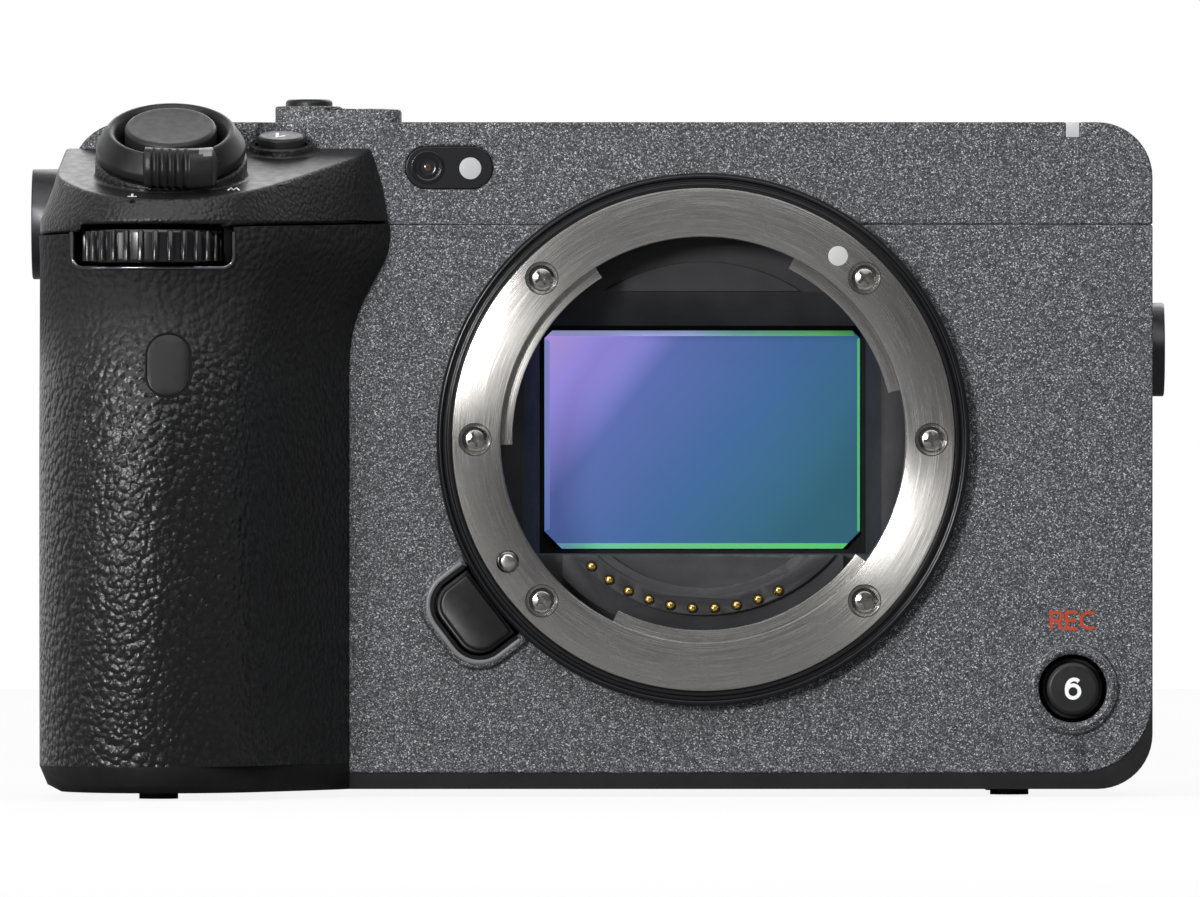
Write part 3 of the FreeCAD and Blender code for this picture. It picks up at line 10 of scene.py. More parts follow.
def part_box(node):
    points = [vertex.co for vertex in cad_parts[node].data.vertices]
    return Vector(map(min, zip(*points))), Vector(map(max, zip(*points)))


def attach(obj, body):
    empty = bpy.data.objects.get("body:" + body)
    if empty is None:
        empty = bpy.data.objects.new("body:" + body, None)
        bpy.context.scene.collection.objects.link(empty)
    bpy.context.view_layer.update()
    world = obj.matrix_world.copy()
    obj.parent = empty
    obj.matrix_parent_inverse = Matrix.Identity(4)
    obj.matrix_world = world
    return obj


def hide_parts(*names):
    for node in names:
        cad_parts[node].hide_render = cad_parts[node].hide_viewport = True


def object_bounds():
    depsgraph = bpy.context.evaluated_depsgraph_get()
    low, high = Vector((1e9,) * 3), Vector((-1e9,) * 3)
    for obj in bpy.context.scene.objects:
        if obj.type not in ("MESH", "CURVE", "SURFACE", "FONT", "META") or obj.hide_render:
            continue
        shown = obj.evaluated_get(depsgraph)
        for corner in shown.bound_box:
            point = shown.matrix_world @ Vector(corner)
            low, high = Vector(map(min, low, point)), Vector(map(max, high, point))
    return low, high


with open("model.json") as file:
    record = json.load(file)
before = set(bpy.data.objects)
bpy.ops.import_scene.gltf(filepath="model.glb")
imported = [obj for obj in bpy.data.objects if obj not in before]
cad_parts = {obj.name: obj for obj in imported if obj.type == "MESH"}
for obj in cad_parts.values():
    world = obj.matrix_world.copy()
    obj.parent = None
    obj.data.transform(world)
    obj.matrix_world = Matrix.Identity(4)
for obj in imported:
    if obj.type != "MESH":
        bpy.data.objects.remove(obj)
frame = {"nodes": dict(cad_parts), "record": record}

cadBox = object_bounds()
mm = 0.001  # the dictionaries hold millimetres and degrees, and meshes are in metres


# Shapes

def front(x=0.0, z=0.0, y=0.0, turn=0.0):
    place = Matrix.Translation((x, y, z)) @ Matrix.Rotation(math.radians(90), 4, "X")
    return place @ Matrix.Rotation(math.radians(turn), 4, "Z")


def cylinder(radius, first, last, place, segments):
    return lathe("tool", [(0, first), (radius, first), (radius, last), (0, last)], place,
                 segments=segments)


def tilted(x, y, z, angle):
    return Matrix.Translation((x, y, z)) @ Matrix.Rotation(math.radians(angle), 4, "X")


def ring(angle, radius):
    turn = math.radians(angle)
    return radius * math.cos(turn), radius * math.sin(turn)


def placed(name, data):
    thing = bpy.data.objects.new(name, data)
    bpy.context.scene.collection.objects.link(thing)
    return thing


def shape(name, points, faces, place=None, sharp=35.0):
    mesh = bpy.data.meshes.new(name)
    place = place or Matrix.Identity(4)
    mesh.from_pydata([(place @ Vector(p)) * mm for p in points], [], faces)
    work = bmesh.new()
    work.from_mesh(mesh)
    bmesh.ops.remove_doubles(work, verts=work.verts, dist=1e-7)
    bmesh.ops.recalc_face_normals(work, faces=work.faces)
    work.to_mesh(mesh)
    work.free()
    thing = placed(name, mesh)
    smooth(thing, sharp)
    return thing


def smooth(thing, sharp=35.0):
    thing.data.shade_smooth()
    thing.data.set_sharp_from_angle(angle=math.radians(sharp))


def softened(profile, radius, closed=False, steps=3):
    points = [Vector(p) for p in profile]
    count = len(points)
    out = []
    for number, here in enumerate(points):
        if not closed and number in (0, count - 1):
            out.append(tuple(here))
            continue
        before = points[number - 1]
        after = points[(number + 1) % count]
        reach = min(radius, (before - here).length * 0.45, (after - here).length * 0.45)
        start = here + (before - here).normalized() * reach
        end = here + (after - here).normalized() * reach
        for step in range(steps + 1):
            part = step / steps
            out.append(tuple(start * (1 - part) ** 2 + here * (2 * part * (1 - part))
                             + end * part ** 2))
    return out


def lathe(name, profile, place, soft=0.0, closed=False, segments=96, start=0.0, sweep=360.0):
    if soft:
        profile = softened(profile, soft, closed)
    whole = sweep >= 360
    columns = segments if whole else segments + 1
    points, faces = [], []
    for radius, height in profile:
        for column in range(columns):
            x, y = ring(start + sweep * column / segments, radius)
            points.append((x, y, height))
    rows = len(profile)
    for row in range(rows if closed else rows - 1):
        following = (row + 1) % rows
        for column in range(segments):
            beside = (column + 1) % columns
            faces.append((row * columns + column, row * columns + beside,
                          following * columns + beside, following * columns + column))
    if closed and not whole:
        faces.append(tuple(row * columns for row in range(rows)))
        faces.append(tuple(row * columns + columns - 1 for row in range(rows)))
    return shape(name, points, faces, place)


def plate(name, outline, low, high, place, soft=0.0, segments=2):
    count = len(outline)
    points = [(x, y, low) for x, y in outline] + [(x, y, high) for x, y in outline]
    faces = [tuple(range(count)), tuple(range(count, 2 * count))]
    for number in range(count):
        following = (number + 1) % count
        faces.append((number, following, count + following, count + number))
    thing = shape(name, points, faces, place)
    if soft:
        bevel(thing, soft, segments)
    return thing


def baked(thing):
    graph = bpy.context.evaluated_depsgraph_get()
    mesh = bpy.data.meshes.new_from_object(thing.evaluated_get(graph), depsgraph=graph)
    thing.modifiers.clear()
    thing.data = mesh
    return thing


def bevel(thing, width, segments=2, angle=32.0, clamp=False, weighted=False):
    change = thing.modifiers.new("Bevel", "BEVEL")
    change.width = width * mm
    change.segments = segments
    change.limit_method = "ANGLE"
    change.angle_limit = math.radians(angle)
    change.use_clamp_overlap = clamp
    change.harden_normals = not weighted
    thing.data.shade_smooth()
    if weighted:
        thing.modifiers.new("Weights", "WEIGHTED_NORMAL").keep_sharp = True
    return baked(thing)


def flattened(thing, least):
    normals = [tuple(corner.vector) for corner in thing.data.corner_normals]
    for face in thing.data.polygons:
        if face.area > least * mm * mm:
            for index in face.loop_indices:
                normals[index] = tuple(face.normal)
    thing.data.normals_split_custom_set(normals)
    return thing


def carve(thing, *tools):
    for tool in tools:
        change = thing.modifiers.new("Carve", "BOOLEAN")
        change.operation = "DIFFERENCE"
        change.solver = "EXACT"
        change.object = tool
        baked(thing)
        bpy.data.objects.remove(tool)
    return thing


def ended(name, work):
    mesh = bpy.data.meshes.new(name)
    work.to_mesh(mesh)
    work.free()
    return placed(name, mesh)


def joined(name, *things):
    work = bmesh.new()
    for thing in things:
        work.from_mesh(thing.data)
        bpy.data.objects.remove(thing)
    thing = ended(name, work)
    smooth(thing)
    return thing


def refined(node, width=0.15, clamp=False, weighted=False):
    source = frame["nodes"][node]
    work = bmesh.new()
    work.from_mesh(source.data)
    bmesh.ops.remove_doubles(work, verts=work.verts, dist=2e-6)
    bmesh.ops.dissolve_limit(work, angle_limit=math.radians(0.4), verts=work.verts,
                             edges=work.edges)
    bmesh.ops.recalc_face_normals(work, faces=work.faces)
    return bevel(ended(node + "_look", work), width, clamp=clamp, weighted=weighted)


strokeLift = 0.005  # crossing strokes lie this far above one another


def ribbon(name, lines, width, height, place):
    points, faces = [], []
    for order, line in enumerate(lines):
        top = height + strokeLift * order
        path = [Vector(p) for p in line]
        loop = (path[0] - path[-1]).length < 1e-6
        count = len(path)
        base = len(points)
        for number, here in enumerate(path):
            before = path[number - 1] if number else (path[-2] if loop else here)
            after = path[number + 1] if number + 1 < count else (path[1] if loop else here)
            along = (here - before).normalized() + (after - here).normalized()
            along.normalize()
            side = Vector((-along.y, along.x))
            first = (after - here if after != here else here - before).normalized()
            stretch = 1 / max(0.55, abs(side.dot(Vector((-first.y, first.x)))))
            offset = side * (width / 2 * stretch)
            for point, level in ((here + offset, 0), (here - offset, 0), (here - offset, top),
                                 (here + offset, top)):
                points.append((point.x, point.y, level))
        for number in range(count - 1):
            a = base + 4 * number
            b = a + 4
            for k in range(4):
                following = (k + 1) % 4
                faces.append((a + k, a + following, b + following, b + k))
        if not loop:
            faces.append(tuple(base + k for k in range(4)))
            faces.append(tuple(base + 4 * (count - 1) + k for k in range(4)))
    return shape(name, points, faces, place)


def tube(name, path, radius):
    data = bpy.data.curves.new(name, "CURVE")
    data.dimensions = "3D"
    data.bevel_depth = radius * mm
    data.bevel_resolution = 3
    data.use_fill_caps = True
    line = data.splines.new("POLY")
    line.points.add(len(path) - 1)
    for point, spot in zip(line.points, path):
        point.co = (*(Vector(spot) * mm), 1)
    curve = placed(name, data)
    thing = placed(name, bpy.data.meshes.new_from_object(curve))
    bpy.data.objects.remove(curve)
    smooth(thing, 60)
    return thing


def arc(x, y, radius, start, end, steps=16):
    out = []
    for step in range(steps + 1):
        turn = math.radians(start + (end - start) * step / steps)
        out.append((x + radius * math.cos(turn), y + radius * math.sin(turn)))
    return out


def roundedBox(x0, x1, y0, y1, radius, steps=6):
    out = []
    for x, y, start in ((x1 - radius, y1 - radius, 0), (x0 + radius, y1 - radius, 90),
                        (x0 + radius, y0 + radius, 180), (x1 - radius, y0 + radius, 270)):
        out += arc(x, y, radius, start, start + 90, steps)
    return out


# Repeats are instances on points, and each point holds its own turn

def repeated(name, source, places, material):
    mesh = bpy.data.meshes.new(name)
    mesh.from_pydata([tuple(place.to_translation() * mm) for place in places], [], [])
    turns = mesh.attributes.new("turn", "FLOAT_VECTOR", "POINT")
    for number, place in enumerate(places):
        turns.data[number].vector = place.to_euler()
    thing = placed(name, mesh)
    tree = bpy.data.node_groups.new(name, "GeometryNodeTree")
    for way in ("INPUT", "OUTPUT"):
        tree.interface.new_socket("Geometry", in_out=way, socket_type="NodeSocketGeometry")
    change = thing.modifiers.new("Repeat", "NODES")
    change.node_group = tree
    for label, kind, value in (("Piece", "Object", source), ("Size", "Float", 1.0),
                               ("Finish", "Material", material)):
        socket = tree.interface.new_socket(label, in_out="INPUT", socket_type="NodeSocket" + kind)
        change[socket.identifier] = value
    kinds = ("NodeGroupInput", "GeometryNodeInstanceOnPoints", "GeometryNodeObjectInfo",
             "GeometryNodeInputNamedAttribute", "FunctionNodeEulerToRotation",
             "GeometryNodeRealizeInstances", "GeometryNodeSetMaterial", "NodeGroupOutput")
    start, spread, info, named, turn, real, paint, end = [tree.nodes.new(kind) for kind in kinds]
    named.data_type = "FLOAT_VECTOR"
    named.inputs["Name"].default_value = "turn"
    vector = [socket for socket in named.outputs if socket.type == "VECTOR"][0]
    links = ((start.outputs["Geometry"], spread.inputs["Points"]),
             (start.outputs["Piece"], info.inputs["Object"]),
             (start.outputs["Size"], spread.inputs["Scale"]),
             (start.outputs["Finish"], paint.inputs["Material"]),
             (info.outputs["Geometry"], spread.inputs["Instance"]),
             (vector, turn.inputs["Euler"]), (turn.outputs["Rotation"], spread.inputs["Rotation"]),
             (spread.outputs["Instances"], real.inputs["Geometry"]),
             (real.outputs["Geometry"], paint.inputs["Geometry"]),
             (paint.outputs["Geometry"], end.inputs["Geometry"]))
    for outgoing, incoming in links:
        tree.links.new(outgoing, incoming)
    baked(thing)
    bpy.data.objects.remove(source)
    smooth(thing)
    return thing


# Materials

class Finish:
    def __init__(self, name):
        self.material = bpy.data.materials.new(name)
        self.material.use_nodes = True
        self.tree = self.material.node_tree
        self.shader = self.tree.nodes["Principled BSDF"]
        self.place = self.node("ShaderNodeTexCoord").outputs["Object"]

    def node(self, kind, **values):
        item = self.tree.nodes.new(kind)
        for key, value in values.items():
            setattr(item, key, value)
        return item

    def link(self, outgoing, incoming):
        self.tree.links.new(outgoing, incoming)

    def feed(self, value, socket):
        if hasattr(value, "links"):
            self.link(value, socket)
        else:
            socket.default_value = value

    def set(self, **values):
        for key, value in values.items():
            self.feed(value, self.shader.inputs[key.replace("_", " ")])

    def axes(self):
        item = self.node("ShaderNodeSeparateXYZ")
        self.link(self.place, item.inputs[0])
        return item.outputs

    def noise(self, scale, detail=3.0, rough=0.5, vector=None):
        item = self.node("ShaderNodeTexNoise")
        item.inputs["Scale"].default_value = scale
        item.inputs["Detail"].default_value = detail
        item.inputs["Roughness"].default_value = rough
        self.link(vector or self.place, item.inputs["Vector"])
        return item.outputs[0]

    def cells(self, scale, feature="F1", output="Distance", vector=None, smoothness=None):
        item = self.node("ShaderNodeTexVoronoi", feature=feature)
        item.inputs["Scale"].default_value = scale
        if smoothness is not None:
            item.inputs["Smoothness"].default_value = smoothness
        self.link(vector or self.place, item.inputs["Vector"])
        return item.outputs[output]

    def warped(self, scale, amount):
        item = self.node("ShaderNodeTexNoise")
        item.inputs["Scale"].default_value = scale
        self.link(self.place, item.inputs["Vector"])
        centred = self.math("SUBTRACT", item.outputs["Color"], (0.5, 0.5, 0.5), vector=True)
        scaled = self.node("ShaderNodeVectorMath", operation="SCALE")
        scaled.inputs["Scale"].default_value = amount
        self.link(centred, scaled.inputs[0])
        return self.math("ADD", self.place, scaled.outputs[0], vector=True)

    def math(self, operation, a, b=0.0, vector=False):
        kind = "ShaderNodeVectorMath" if vector else "ShaderNodeMath"
        item = self.node(kind, operation=operation)
        for socket, value in zip(item.inputs, (a, b)):
            self.feed(value, socket)
        return item.outputs[0]

    def ramp(self, source, *stops):
        item = self.node("ShaderNodeValToRGB")
        elements = item.color_ramp.elements
        while len(elements) < len(stops):
            elements.new(0.5)
        for element, (position, colour) in zip(elements, stops):
            element.position = position
            element.color = (*colour, 1)
        self.link(source, item.inputs["Fac"])
        return item.outputs["Color"]

    def blend(self, factor, first, second, mode="MIX"):
        item = self.node("ShaderNodeMix", data_type="RGBA", blend_type=mode)
        sockets = [socket for socket in item.inputs if socket.type == "RGBA"]
        self.feed(factor, item.inputs["Factor"])
        for socket, value in zip(sockets, (first, second)):
            self.feed((*value, 1) if isinstance(value, tuple) else value, socket)
        return [socket for socket in item.outputs if socket.type == "RGBA"][0]

    def greys(self, source, low, high):
        return self.ramp(source, (0.3, grey(low)), (0.7, grey(high)))

    def bump(self, height, distance, strength=1.0):
        item = self.node("ShaderNodeBump")
        item.inputs["Strength"].default_value = strength
        item.inputs["Distance"].default_value = distance * mm
        self.link(height, item.inputs["Height"])
        self.link(item.outputs[0], self.shader.inputs["Normal"])


def grey(level):
    return (level, level, level)


sensor = {"halfWidth": 18.1, "halfHeight": 12.5, "border": 0.62, "corner": 0.9, "low": 2.0}
wide, tall = sensor["halfWidth"], sensor["halfHeight"]


def greyPaint():
    finish = Finish("greyPaint")
    value = finish.node("ShaderNodeSeparateColor")
    finish.link(finish.cells(8600, output="Color"), value.inputs[0])
    speck = finish.ramp(value.outputs[0], (0.0, (0.009, 0.010, 0.012)),
                        (0.35, (0.034, 0.036, 0.041)), (0.72, (0.092, 0.095, 0.104)),
                        (0.92, (0.22, 0.226, 0.238)), (1.0, (0.52, 0.53, 0.55)))
    cloud = finish.greys(finish.noise(2300, 2.0), 0.8, 1.0)
    finish.set(Base_Color=finish.blend(1.0, speck, cloud, "MULTIPLY"), Metallic=0.2,
               Specular_IOR_Level=0.35,
               Roughness=finish.ramp(value.outputs[1], (0.0, grey(0.42)), (1.0, grey(0.66))))
    finish.bump(finish.noise(4200, 2.0, 0.6), 0.05, 0.6)
    return finish.material


def plastic(name, tone, rough, shine=0.2, grain=2600, depth=0.03, strength=0.5,
            tint=(1.0, 1.0, 1.05)):
    finish = Finish(name)
    cloud = finish.noise(240, 3.0)
    low = tuple(tone * 0.8 * k for k in tint)
    high = tuple(tone * 1.2 * k for k in tint)
    finish.set(Base_Color=finish.ramp(cloud, (0.3, low), (0.7, high)),
               Roughness=finish.greys(finish.noise(grain / 3, 2.0), rough * 0.88,
                                      min(1.0, rough * 1.12)),
               Specular_IOR_Level=shine)
    finish.bump(finish.noise(grain, 3.0, 0.6), depth, strength)
    return finish.material


hollowShadeReach = 40  # the skin turns dull and darker between 0.2 and 0.38 of this height, below the dial; the darkening is painted shade for the hollow


def gripRubber():
    finish = Finish("gripRubber")
    place = finish.warped(800, 0.0006)
    lump = finish.cells(1250, "SMOOTH_F1", vector=place, smoothness=0.4)
    wrinkle = finish.noise(1500, 2.0, 0.5)
    fine = finish.noise(3400, 2.0, 0.6)
    height = finish.math("ADD", finish.math("MULTIPLY", lump, -1.15),
                         finish.math("ADD", finish.math("MULTIPLY", wrinkle, 0.5),
                                     finish.math("MULTIPLY", fine, 0.12)))
    rise = finish.math("MULTIPLY", finish.axes()[2], 1 / (hollowShadeReach * mm))
    # Painted shade: above this mask the skin's colour goes to 0.003 for the shaded hollow below
    # the dial, and its roughness rises to 0.75
    paintedHollowShade = finish.ramp(rise, (0.2, grey(0.0)), (0.38, grey(1.0)))
    sheen = finish.ramp(fine, (0.3, grey(0.28)), (0.75, grey(0.38)))
    tone = finish.ramp(lump, (0.1, (0.0085, 0.0085, 0.0092)), (0.6, grey(0.004)))
    finish.set(Base_Color=finish.blend(paintedHollowShade, tone, grey(0.003)),
               Roughness=finish.blend(paintedHollowShade, sheen, grey(0.75)), Specular_IOR_Level=0.4)
    finish.bump(height, 0.24, 1.0)
    return finish.material


def orangePeel():
    finish = Finish("orangePeel")
    place = finish.warped(1500, 0.0003)
    cell = finish.cells(2100, "SMOOTH_F1", vector=place, smoothness=0.5)
    height = finish.math("ADD", finish.math("MULTIPLY", cell, -1.0),
                         finish.math("MULTIPLY", finish.noise(1500, 2.0, 0.5), 0.6))
    finish.set(Base_Color=finish.ramp(cell, (0.1, (0.012, 0.012, 0.013)), (0.6, grey(0.007))),
               Roughness=finish.greys(finish.noise(900, 2.0), 0.36, 0.44),
               Specular_IOR_Level=0.35)
    finish.bump(height, 0.09, 1.0)
    return finish.material


def brushedSteel():
    finish = Finish("brushedSteel")
    across, depth, up = finish.axes()
    reach = finish.math("SQRT", finish.math("ADD", finish.math("MULTIPLY", across, across),
                                            finish.math("MULTIPLY", up, up)))
    angle = finish.math("ARCTAN2", up, across)
    polar = finish.node("ShaderNodeCombineXYZ")
    finish.link(finish.math("MULTIPLY", reach, 9000), polar.inputs[0])
    finish.link(finish.math("MULTIPLY", angle, 3.0), polar.inputs[1])
    lines = finish.noise(1.0, 4.0, 0.65, vector=polar.outputs[0])
    colour = finish.ramp(lines, (0.3, (0.34, 0.328, 0.308)), (0.7, (0.48, 0.465, 0.44)))
    finish.set(Base_Color=colour, Metallic=1.0, Anisotropic=0.9,
               Roughness=finish.greys(lines, 0.20, 0.30))
    tangent = finish.node("ShaderNodeTangent", direction_type="UV_MAP", uv_map="Brush")
    finish.link(tangent.outputs[0], finish.shader.inputs["Tangent"])
    finish.bump(lines, 0.006, 0.5)
    return finish.material


def metal(name, colour, rough, grain=1500, depth=0.01):
    finish = Finish(name)
    cloud = finish.noise(grain, 3.0)
    low = tuple(k * 0.85 for k in colour)
    finish.set(Base_Color=finish.ramp(cloud, (0.3, low), (0.7, colour)), Metallic=1.0,
               Roughness=finish.greys(finish.noise(grain / 4), rough * 0.8, rough * 1.2))
    finish.bump(cloud, depth, 0.4)
    return finish.material


# Painted light: the sensor's colour gradient stands in for its coloured reflections, and it glows
# through emission though it is no lamp; its base colour is dimmed to about 0.38 so the painted
# glow carries it
def sensorFilm():
    finish = Finish("sensorFilm")
    parts = finish.axes()
    across = finish.math("ADD", finish.math("MULTIPLY", parts[0], 0.5 / (wide * mm)), 0.5)
    up = finish.math("ADD", finish.math("MULTIPLY", parts[2], 0.5 / (tall * mm)), 0.5)
    corner = finish.math("ADD", finish.math("MULTIPLY", across, 0.75),
                         finish.math("MULTIPLY", finish.math("SUBTRACT", 1.0, up), 0.42))
    base = finish.ramp(corner, (0.0, (0.62, 0.43, 1.0)), (0.14, (0.42, 0.35, 1.0)),
                       (0.34, (0.10, 0.145, 0.42)), (0.62, (0.05, 0.135, 0.33)),
                       (0.85, (0.035, 0.135, 0.235)), (1.0, (0.025, 0.115, 0.17)))
    shade = finish.greys(finish.noise(60, 2.0), 0.36, 0.4)
    finish.set(Base_Color=finish.blend(1.0, base, shade, "MULTIPLY"), Roughness=0.42,
               Specular_IOR_Level=0.12, Emission_Color=base, Emission_Strength=0.62)
    return finish.material


# Painted light: a glowing colour ramp for the sensor's border strips, which are no lamps; the
# colours stand in for reflections at the sensor's edges
def glow(name, stops, axis, reach):
    finish = Finish(name)
    share = finish.math("MULTIPLY", finish.math("SUBTRACT", finish.axes()[axis], -reach * mm),
                        0.5 / (reach * mm))
    base = finish.ramp(share, *stops)
    finish.set(Base_Color=base, Roughness=0.4, Specular_IOR_Level=0.15, Emission_Color=base,
               Emission_Strength=0.5)
    return finish.material


def gloss(name, colour, rough=0.06, shine=0.5):
    finish = Finish(name)
    finish.set(Base_Color=finish.ramp(finish.noise(90, 2.0), (0.3, tuple(k * 0.9 for k in colour)),
                                      (0.7, colour)),
               Roughness=rough, Specular_IOR_Level=shine)
    return finish.material


looks = {
    "paint": greyPaint(),
    "rubber": gripRubber(),
    "peel": orangePeel(),
    "steel": brushedSteel(),
    "black": plastic("blackPlastic", 0.009, 0.5, 0.14, 2400, 0.03, 0.5),
    "satin": plastic("satinBlack", 0.011, 0.42, 0.25, 3000, 0.03, 0.45),
    "key": plastic("keyBlack", 0.010, 0.38, 0.28, 3000, 0.02, 0.35),
    "keyTop": plastic("keyTop", 0.014, 0.46, 0.3, 3600, 0.03, 0.4),
    "flock": plastic("flockedBlack", 0.010, 0.75, 0.08, 3000, 0.05, 0.6),
    "inner": plastic("innerGrey", 0.025, 0.5, 0.2, 3000, 0.03, 0.5, (1.0, 1.0, 1.08)),
    "collar": gloss("collarBlack", (0.007, 0.007, 0.008), 0.2, 0.35),
    "dial": gloss("dialBlack", (0.009, 0.009, 0.010), 0.2, 0.5),
    "screw": metal("screwSteel", (0.36, 0.35, 0.34), 0.22),
    "chrome": metal("pinChrome", (0.52, 0.51, 0.49), 0.2),
    "gold": metal("contactGold", (0.78, 0.53, 0.15), 0.2),
    "cast": metal("castMetal", (0.32, 0.33, 0.34), 0.45, 900, 0.04),
    "dark": metal("darkMetal", (0.05, 0.05, 0.054), 0.42),
    "board": plastic("boardGreen", 0.04, 0.45, 0.4, 1200, 0.02, 0.4, (0.3, 1.4, 0.7)),
    "white": gloss("whitePrint", (0.78, 0.78, 0.78), 0.5, 0.3),
    "red": gloss("redPrint", (0.37, 0.048, 0.019), 0.5, 0.15),
    "lamp": gloss("lampWhite", (0.42, 0.42, 0.43), 0.35, 0.4),
    "dot": gloss("indexWhite", (0.44, 0.44, 0.43), 0.4, 0.3),
    # Pale grey for the lever's mark and the release lip, and for the painted highlight on the
    # record ring
    "trimAndHighlight": plastic("greyTrimAndHighlight", 0.15, 0.38, 0.4, 3000, 0.01, 0.3),
    "pane": gloss("windowGloss", (0.006, 0.006, 0.007), 0.3, 0.3),
    "bead": gloss("lensBead", (0.05, 0.028, 0.02), 0.1, 0.5),
    "bezel": metal("bezelMetal", (0.16, 0.16, 0.17), 0.22),
    "screen": gloss("screenGloss", (0.004, 0.004, 0.006), 0.06, 0.4),
    "sensor": sensorFilm(),
    "left": glow("sensorLeft", ((0.0, (0.10, 0.20, 0.50)), (1.0, (0.36, 0.38, 0.90))), 2, tall),
    "top": glow("sensorTop", ((0.0, (0.42, 0.42, 0.82)), (0.45, (0.33, 0.42, 0.72)),
                              (0.6, (0.16, 0.40, 0.36)), (0.9, (0.10, 0.42, 0.12)),
                              (1.0, (0.06, 0.25, 0.10))), 0, wide),
    "right": glow("sensorRight", ((0.0, (0.06, 0.30, 0.10)), (1.0, (0.07, 0.33, 0.11))), 2, tall),
    "bottom": glow("sensorBottom", ((0.0, (0.20, 0.36, 0.72)), (0.12, (0.10, 0.36, 0.26)),
                                    (0.4, (0.09, 0.34, 0.14)), (1.0, (0.06, 0.36, 0.10))),
                   0, wide),
}


bodyOf = {node: body for body, nodes in frame["record"]["behaviour"]["bodies"].items()
          for node in nodes}


# A piece passed a slot is an extra and leaves its node shown, and the others take their node's
# place
def dress(thing, look, node, slot=None):
    thing.data.materials.clear()
    thing.data.materials.append(looks[look])
    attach(thing, bodyOf[node])
    if slot is None:
        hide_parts(node)


print("stage: materials", len(looks))


# Case parts that keep their form and get soft edges

softNodes = {
    "front_cover": ("paint", 0.22), "top_cover": ("paint", 0.22), "side_cover": ("paint", 0.15),
    "rear_cover": ("black", 0.2), "bottom_cover": ("black", 0.25),
    "grip_top_cover": ("satin", 0.35), "light_box": ("inner", 0.1),
    "contact_block": ("inner", 0.1), "accessory_shoe": ("dark", 0.15),
    "audio_door": ("black", 0.2), "data_door": ("black", 0.2), "card_door": ("black", 0.2),
    "battery_door": ("black", 0.2), "battery_latch": ("key", 0.15), "power_switch": ("key", 0.2),
    "monitor_bracket": ("black", 0.3), "monitor_housing": ("black", 0.4),
    "monitor_glass": ("screen", 0.1), "menu_button": ("key", 0.15),
    "playback_button": ("key", 0.15), "focus_button": ("key", 0.15),
    "centre_button": ("key", 0.15), "top_button": ("key", 0.15),
    "top_record_button": ("key", 0.15), "joystick_cap": ("key", 0.15),
    "control_wheel": ("dial", 0.1), "rear_dial": ("dial", 0.1), "socket_block": ("flock", 0.1),
    "thread_inserts": ("dark", 0.15), "battery": ("black", 0.3), "tally_lamp": ("lamp", 0.1),
    "grip_window": ("key", 0.12),
}
crowded = ("bottom_cover", "contact_block")  # many small holes or corners lie close together
rounded = ("grip_top_cover", "control_wheel", "rear_dial", "joystick_cap", "power_switch")
broadFace = 20.0  # square millimetres, above which a face keeps its flat shade
for node, (look, width) in softNodes.items():
    piece = refined(node, width, node in crowded, node in rounded)
    if node.endswith("_cover") and node not in rounded:
        flattened(piece, broadFace)
    dress(piece, look, node)
    if node == "grip_top_cover":
        piece.data.materials.append(looks["peel"])
        for face in piece.data.polygons:
            face.material_index = int(face.normal.z < 0.75)

plainNodes = {
    "black": ("grip_frame",), "board": ("main_board",), "dark": ("card_reader", "joystick_gimbal"),
    "cast": ("mount_chassis", "stabiliser_frame", "stabiliser_base", "heat_sink"),
    "flock": ("shutter_frame", "shutter_blade_1", "shutter_blade_2", "shutter_blade_3",
              "sensor_holder", "fan_rotor"),
}
for look, nodes in plainNodes.items():
    for node in nodes:
        mesh = frame["nodes"][node].data
        mesh.materials.clear()
        mesh.materials.append(looks[look])
print("stage: case", len(softNodes))


# Lens mount: ring with its tabs, collar, screws, pin and index dot

mount = {
    "throat": 23.05, "ring": 28.6, "ringDepth": 2.2, "foot": 27.2, "footDepth": 5.0, "face": 3.2,
    "tab": 21.7, "tabFront": 1.4, "tabBack": 2.7,
    "tabs": ((14.2, 49.2), (122.0, 59.5), (243.6, 79.5)),
    "screwCircle": 25.95, "screwTurns": {0: 12, 45: 38, 135: 33, 180: 20, 225: 41, 315: 10},
    "recess": 1.8, "recessDepth": 1.2, "head": 1.45, "headDrop": 0.55,
    "pinAngle": 212.0, "pinCircle": 26.2, "pin": 1.13, "pinHole": 1.3, "pinLength": 7.6,
    "dotAngle": 53.7, "dotCircle": 25.9, "dot": 1.23,
    "collarInner": 28.65, "collarOuter": 30.35, "collarFront": 0.4,
}
contacts = {"circle": 19.25, "first": 228.7, "step": 7.54, "count": 10, "radius": 0.55,
            "front": 3.7, "length": 2.9}


def brushed(thing):
    layer = thing.data.uv_layers.new(name="Brush")
    loops = thing.data.loops
    vertices = thing.data.vertices
    for face in thing.data.polygons:
        middle = face.center
        base = math.atan2(middle.z, middle.x)
        for index in face.loop_indices:
            place = vertices[loops[index].vertex_index].co
            turn = math.atan2(place.z, place.x) - base
            turn = (turn + math.pi) % (2 * math.pi) - math.pi
            layer.data[index].uv = (math.hypot(place.x, place.z) * 20,
                                    (base + turn) / (2 * math.pi) + 0.5)
    return thing


